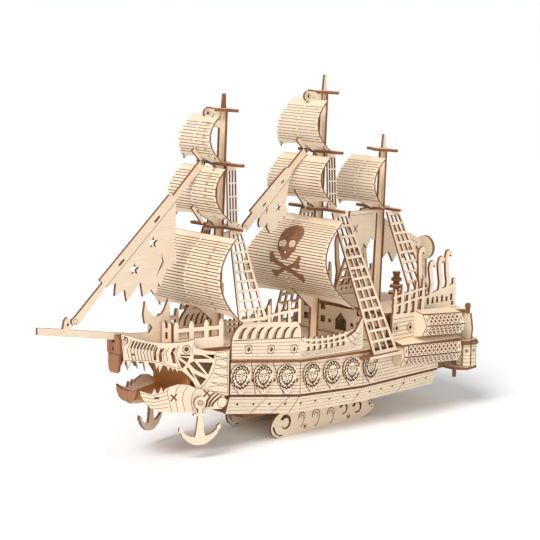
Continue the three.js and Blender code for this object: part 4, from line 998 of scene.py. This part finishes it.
slat = slat_shape()
mark_cut(slat)
for tag, s in SIDES:
    node = f"gallery_{tag}"
    for name, x0, x1, fall, section in GALLERIES:
        wall = quarter_y(x0) + 0.3
        fore = [Vector((x0, s * (wall + o), z)) for o, z in section]
        aft = [Vector((x1, s * (wall + o + (FLARE if o else 0)), z - fall)) for o, z in section]
        weave = []
        for k in range(4):
            corners = (fore[k], aft[k], aft[k + 1], fore[k + 1])
            if s < 0:
                corners = (aft[k], fore[k], fore[k + 1], aft[k + 1])
            place, outline, axes = facet(corners)
            woven = k in (1, 2)
            long, tall = outline[1][0], abs(outline[2][1])
            sunk = [box(MARGIN, 0.8, long - MARGIN, tall - 0.5),
                    *(box(m - 0.55, tall * 0.34, m + 0.55, tall * 0.66) for m in (2.3, long - 2.3))]
            fix(cut_sheet(f"{node}_{name}_{k}", place, [outline], (), sunk if woven else (),
                          -PANEL, 0, FIELD_DEPTH, (FACE_X, EDGE, WEAVE_BASE)), node)
            if woven:
                rows, start = max(2, round((tall - 1.3) / CELL)), Vector((MARGIN + 0.2, 0.8))
                for i in range(int((long - 2 * MARGIN) / CELL)):
                    for j in range(rows):
                        spot = start + Vector(((i + 0.5) * CELL, (j + 0.5) * (tall - 1.3) / rows))
                        angle = math.radians(45 if (i + j) % 2 else -45)
                        turn = (axes @ Matrix.Rotation(angle, 3, "Z")).to_euler()
                        weave.append((place(spot.x, spot.y, -FIELD_DEPTH), tuple(turn), (1, 1, 1)))
        fix(copies(f"{node}_{name}_weave", slat, weave))
        for end, ring, x in (("fore", fore, x0), ("aft", aft, x1)):
            cap = [(c.y * s + out * CAP_INSET, c.z + rise * CAP_INSET) for c, out, rise in
                   zip(ring, (1, -1, -1, -1, 1), (-1, -1, 0, 1, 1))]
            inset = 1 if end == "fore" else -1
            fix(cut_sheet(f"{node}_{name}_{end}_cap",
                          lambda u, v, w: at(x + inset * CAP_HALF + w, s * u, v),
                          [cap], (), (), -CAP_HALF, CAP_HALF, 0.2, ATHWART), node)
    wall = quarter_y(98) + CAP_HALF
    outer = wall + LEDGE_OUT
    ledge_corners = (Vector((76.2, s * wall, 60.0)), Vector((141, s * wall, 56.3)),
                     Vector((141, s * outer, 54.4)), Vector((76.2, s * outer, 58.1)))
    ledge_place, ledge, _ = facet(ledge_corners[::s], 0.0)
    fix(cut_sheet(f"{node}_ledge", ledge_place, [ledge], (), (), -PLY, 0, 0.2), node)
bpy.data.objects.remove(slat)

# ---- Stern -----------------------------------------------------------------------------
# A balcony of two floors carries an eight-sided turret at each corner. Above it stand a rail with
# knobbed posts, two poop rails with hooked finials, and a plain round sign on a post.
skin("stern_balcony")
TURRET = (152.6, 50.4, 7.05)  # its centre, and how far its eight flats stand from it
RING_RADIUS, SCALLOP = 8.6, 0.7
for tag, s in SIDES:
    tx, ty, tr = TURRET
    half = tr * math.sin(math.radians(22.5))
    for k in range(8):
        a = math.radians(45 * k)
        mid = Vector((tx + tr * 1.012 * math.cos(a), s * ty + tr * 1.012 * math.sin(a), 0))
        side = Vector((-math.sin(a), math.cos(a), 0))

        def on_wall(u, v, w):
            p = mid + side * u + Vector((math.cos(a), math.sin(a), 0)) * w
            return at(p.x, p.y, v)

        courses = [c for z in (34.6, 37.4, 40.2, 46.4)
                   for c in stroke([(-half + 0.4, z), (half - 0.4, z)], 0.3)]
        port = [oval(0, 43.4, 0.95, 0.95, 10), *stroke(oval(0, 43.4, 1.5, 1.5, 10), 0.25, True)]
        wall = box(-half + 0.22, 32.2, half - 0.22, 49.8)
        fix(cut_sheet(f"turret_{tag}_wall_{k}", on_wall, [wall], (), [*courses, *port],
                      -0.3, 0.45, 0.35, ATHWART))
    scallops = [oval(tx, s * ty, RING_RADIUS + SCALLOP * (k % 2), n=32)[k] for k in range(32)]
    fix(cut_sheet(f"turret_{tag}_ring", lambda u, v, w: at(u, v, 48.9 + w), [scallops],
                  [oval(tx, s * ty, 6.4, 6.4, 16)], (), -0.7, 0.7, 0.2, (EDGE, EDGE, GROOVE)))
KNOB_FOOT = 70.6  # the posts are burnt all round from here up
for p in skin("stern_rail", [(1, 0, 0)], (FACE_Y, EDGE)).data.polygons:
    if p.center.z > KNOB_FOOT * MM:
        p.material_index = 1
for tag, s in SIDES:
    skin(f"poop_rail_{tag}", [(0, 1, 0)])
skin("stern_sign", [(1, 0, 0)], (FACE_Y, EDGE))

# ---- Masts -----------------------------------------------------------------------------
# Each mast is two crossed plates, raked 2.4 degrees aft, with short crosstrees laid flat over it
# and upper shrouds cut as small ladders. All are slotted and glued.
RAKE = Matrix.Rotation(math.radians(2.4), 3, "Y")
MAST_EDGE = 1.995  # a mast's flats this narrow or less are cut edges
for m in ("fore", "main", "mizzen"):
    skin(f"mast_{m}", mats=(FACE_Z, EDGE), width=MAST_EDGE)
    skin(f"crosstree_{m}", [RAKE @ Vector((0, 0, 1)), (0, 1, 0.09), (0, -1, 0.09)])

# ---- Sails -----------------------------------------------------------------------------
# Seven squares of 1.4 mm plywood. Rows of fine slits let each bend round its yard, alternately
# open at the sides with a bridge in the middle, and closed at the sides.
SAIL_PLY = 1.4
SAILS = {
    "sail_fore_top": ((-70, 220, 13), (-71.5, 190, 18.7), -79.6),
    "sail_fore_mid": ((-70.5, 186.4, 21.2), (-69, 151.6, 27.3), -80.4),
    "sail_fore_lower": ((-67, 141.4, 30), (-69.6, 88, 40.4), -83.6),
    "sail_main_top": ((27, 230, 16.5), (24, 195.8, 24), 15.4),
    "sail_main_mid": ((26, 191.6, 22.8), (25.4, 158.6, 31.2), 14.2),
    "sail_main_lower": ((34.4, 147.8, 30), (31, 88, 52), 8.6),
    "sail_mizzen": ((89.8, 188.8, 16.5), (85.6, 152.4, 22.5), 76.6),
}
SLIT, CHARRED, ROW = 0.26, 0.66, 2.15  # the laser burns the face on both sides of each slit
FOOT_ARCH = 0.105  # how far the foot is hollowed, as a share of the sail's height
FOOT_BAND, HEAD_BAND, SIDE_BAND, BRIDGE = 2.6, 3.2, 2.2, 1.0  # wood left whole past the slits


def sail_scorch(w, x, y, z):
    """Scorch marks where the slits end beside the middle, and in a column on the fore sails."""
    mark = w.noise(x * 0.12, y * 0.5, z * 0.9, 4.0, 0.7)
    middle = abs(abs(y) - 2.2).span(1.6, 0.2)
    column = abs(y + (z * -0.2076 + 58.7) * 0.6).span(2.2, 0.4) * x.span(-20.0, -30.0)
    rows = (z * (0.5 / ROW)).math("FRACT").span(0.5, 0.6)
    beside = mark.span(0.52, 0.72) * (middle * 0.8 + 0.06)
    return beside.math("MAXIMUM", mark.span(0.40, 0.56) * column * rows)


SAIL_FACE = finish("sail_birch", birch("y", CREAM, WHEAT, sail_scorch))
SHEET_FACE = finish("thin_birch", birch("x"))
SKULL_FILL = finish("sail_engraving",
                    scorched((0.34, 0.145, 0.062, 1), (0.16, 0.058, 0.022, 1), 0.8))


def sail_cut(node, engraved=(), spared=()):
    top, foot, belly = SAILS[node]
    tall, sag = top[1] - foot[1], (top[0] + foot[0]) / 2 - belly

    def curve(v):
        t = (v - foot[1]) / tall
        return foot[0] + (top[0] - foot[0]) * t - sag * 4 * t * (1 - t)

    def place(u, v, w):
        return at(*(RAKE @ Vector((curve(v) + SAIL_PLY / 2 - w, u, v))))

    def half_width(v):
        stops = [(0, foot[2]), (0.3, foot[2] * 0.7 + top[2] * 0.3 - 1),
                 (0.65, foot[2] * 0.35 + top[2] * 0.65 - 0.8), (1, top[2])]
        t = (v - foot[1]) / tall
        for (t0, w0), (t1, w1) in zip(stops, stops[1:]):
            if t <= t1:
                return w0 + (w1 - w0) * (t - t0) / (t1 - t0)
        return top[2]

    n = 12
    side = [(half_width(foot[1] + tall * k / n), foot[1] + tall * k / n) for k in range(n + 1)]
    arch = [(foot[2] * math.sin(math.pi / 2 * k / 8),
             foot[1] + tall * FOOT_ARCH * math.cos(math.pi / 2 * k / 8) ** 0.9) for k in range(8)]
    rightside = arch + side
    edge = [rightside[0], *mirrored(rightside[1:])]
    levels, v = [], foot[1] + tall * FOOT_ARCH + FOOT_BAND
    while v < top[1] - HEAD_BAND:
        levels.append(v)
        slope = curve(v + 0.5) - curve(v - 0.5)
        v += ROW / math.hypot(1, slope)
    slits, burnt = [], list(engraved)
    for k, v in enumerate(levels):
        reach, lean = half_width(v), 1 / math.hypot(1, curve(v + 0.5) - curve(v - 0.5))
        for rows, wide in ((slits, SLIT), (burnt, CHARRED)):
            h, more = wide / 2 * lean, (wide - SLIT) / 2
            if k % 2:
                rows.append(box(-reach + SIDE_BAND - more, v - h, reach - SIDE_BAND + more, v + h))
            else:
                rows += [box(-reach - 2, v - h, -BRIDGE + more, v + h),
                         box(BRIDGE - more, v - h, reach + 2, v + h)]
    low = foot[1] + 3
    slits += [oval(m * (foot[2] - 3.4), low, 0.8, 0.8, 8) for m in (-1, 1)]
    guides = [((-60, foot[1] + tall * k / 24), (60, foot[1] + tall * k / 24)) for k in range(1, 24)]
    piece = cut_sheet(node + "_cut", place, [edge], slits, burnt, -SAIL_PLY / 2, SAIL_PLY / 2, 0.12,
                      (SAIL_FACE, EDGE, SKULL_FILL), guides, spared)
    return fix(piece, node)


SKULL_SHAPE = [(9.8, 126.1), (11.5, 129.9), (13.1, 134.7), (12.6, 138.2), (9.7, 140.4),
               (4.2, 141.8), (-1.0, 141.1), (-4.6, 139.6), (-7.3, 137.0), (-7.6, 133.6),
               (-7.0, 130.1), (-7.3, 127.7), (-8.0, 125.3), (-5.1, 124.0), (-4.0, 120.8),
               (-1.5, 119.2), (2.8, 119.2), (6.0, 122.6), (8.2, 124.3)]
SKULL_EYES = [[(9.9, 131.1), (5.9, 131.8), (3.4, 130.6), (3.0, 128.2), (5.0, 127.4), (8.6, 127.4),
               (10.2, 129.1)],
              [(0.7, 131.9), (-2.8, 132.6), (-5.0, 130.9), (-5.3, 128.4), (-1.2, 127.8),
               (0.6, 129.7)],
              [(1.6, 125.4), (-0.4, 123.9), (1.8, 122.9)]]
BONES = [[(13.6, 110.7), (12.6, 107.2), (11.3, 105.1), (8.6, 106.4), (6.4, 108.0), (-3.8, 113.3),
          (-9, 114.6), (-12.6, 113.8), (-15.5, 115.2), (-14.2, 118.4), (-15.4, 122.2),
          (-12.5, 123.4), (-10.8, 120.2), (-8.4, 117.6), (0.4, 113.3), (8, 110.6)],
         [(15.8, 122.4), (14.9, 118.6), (14.2, 115.4), (11, 115.8), (6.2, 114.1), (-3.7, 110.8),
          (-9.6, 108.8), (-12.4, 106.8), (-15.7, 104.9), (-18.3, 106.6), (-17.7, 111.0),
          (-13.4, 111.2), (-6.8, 113.7), (1.8, 116.2), (7.7, 118.3), (10.6, 121.0), (12.1, 123.5)]]
for node in SAILS:
    if node == "sail_main_lower":
        sail_cut(node, [SKULL_SHAPE, *BONES], SKULL_EYES)
    else:
        sail_cut(node)

# ---- Stays, banner and spanker ---------------------------------------------------------
# Flat sheets on the centre plane. Each stay is a ringed strip with a torn triangular sail below it;
# the torn banner and spanker are slotted to the mizzen mast.
UNRAKE = RAKE.transposed()


def on_centre(u, v, w):
    return at(*(RAKE @ Vector((u, -w, v))))


def unraked(p):
    q = UNRAKE @ p
    return q.x, q.z


def bar(cu, cv, angle, long, wide):
    """A short slot for a tab, turned to lie along a strip."""
    d = Vector((math.cos(math.radians(angle)), math.sin(math.radians(angle))))
    return stroke([Vector((cu, cv)) - d * long / 2, Vector((cu, cv)) + d * long / 2], wide)


STRIP = 43.0
torn = {"jib_stay": [*stroke([(-150.8, 112.1), (-122.5, 138.0), (-94.2, 164.2)], 0.35),
                     *bar(-138.4, 127.2, STRIP, 4.6, 1.7), *bar(-109.8, 153.4, STRIP, 4.6, 1.7),
                     *stroke(oval(-174.2, 92.3, 1.5), 0.4, True),
                     *stroke(oval(-72.4, 188.8, 1.2), 0.4, True)],
        "main_stay": [*stroke([(-17.5, 150.1), (8.5, 175.2)], 0.3),
                      *bar(-14.0, 158.6, STRIP - 2, 2.6, 1.2),
                      *bar(2.6, 173.6, STRIP - 2, 2.6, 1.2),
                      *stroke(oval(-31.0, 143.8, 1.4), 0.35, True),
                      *stroke(oval(24.6, 194.4, 1.1), 0.35, True)],
        "mizzen_banner": [*stroke([(76.6, 139.0), (80.4, 134.6)], 0.8),
                          *stroke([(76.4, 134.4), (80.6, 139.4)], 0.8),
                          *stroke([(72.8, 146.6), (96, 147.2)], 0.3)],
        "mizzen_spanker": [*stroke([(110.4, 138.6), (147.6, 122.6)], 0.3)], }
for node, lines in torn.items():
    outline, *holes = traced(node, (0, -1, 0), unraked)
    fix(cut_sheet(node + "_cut", on_centre, [outline], holes, lines,
                  mats=(SHEET_FACE, EDGE, GROOVE)), node)

# ---- Sail brackets ---------------------------------------------------------------------
# A ringed arm at the head of each topsail, and a spur that comes through the foot of each upper
# sail to hold it bowed. All stand in the centre plane, slotted into the mast.
BRACKETS = {
    "fore": ((-69.1, 221.4, 3.0), (-57.4, 217.0, 223.4),
             [((-80.0, 197.1), (-70.4, 188.4)), ((-78.7, 159.5), (-70.0, 149.6))]),
    "main": ((24.0, 232.2, 3.4), (38.2, 227.4, 234.4),
             [((16.4, 202.2), (25.4, 194.4)), ((16.8, 167.7), (26.7, 155.9))]),
}
for m, ((cu, cv, r), (root, low, high), spurs) in BRACKETS.items():
    solids = [oval(cu, cv, r, r, 20), [(cu, cv - r), (root, low), (root, high), (cu, cv + r)]]
    for ends in spurs:
        solids += stroke(ends, 2.4)
    fix(cut_sheet(f"sail_brackets_{m}", on_centre, solids, [oval(cu, cv, r * 0.36, r * 0.36, 10)],
                  [*stroke(oval(cu, cv, r * 0.62, r * 0.62, 14), 0.3, True),
                   oval(cu + r * 1.7, cv - 0.8, 0.5, 0.5, 8)]))

# ---- Shrouds ---------------------------------------------------------------------------
# Six ladders of thin sheet lean from the hull to the lower crosstrees, slotted at both ends; the
# main pair stands on channels, narrow shelves outside the hull.
for tag, s in SIDES:
    for m in ("fore", "main", "mizzen"):
        skin(f"shroud_{m}_{tag}", [(0.05, s, 0.3), (0, s, 0.35), (0, s, 0.42)])
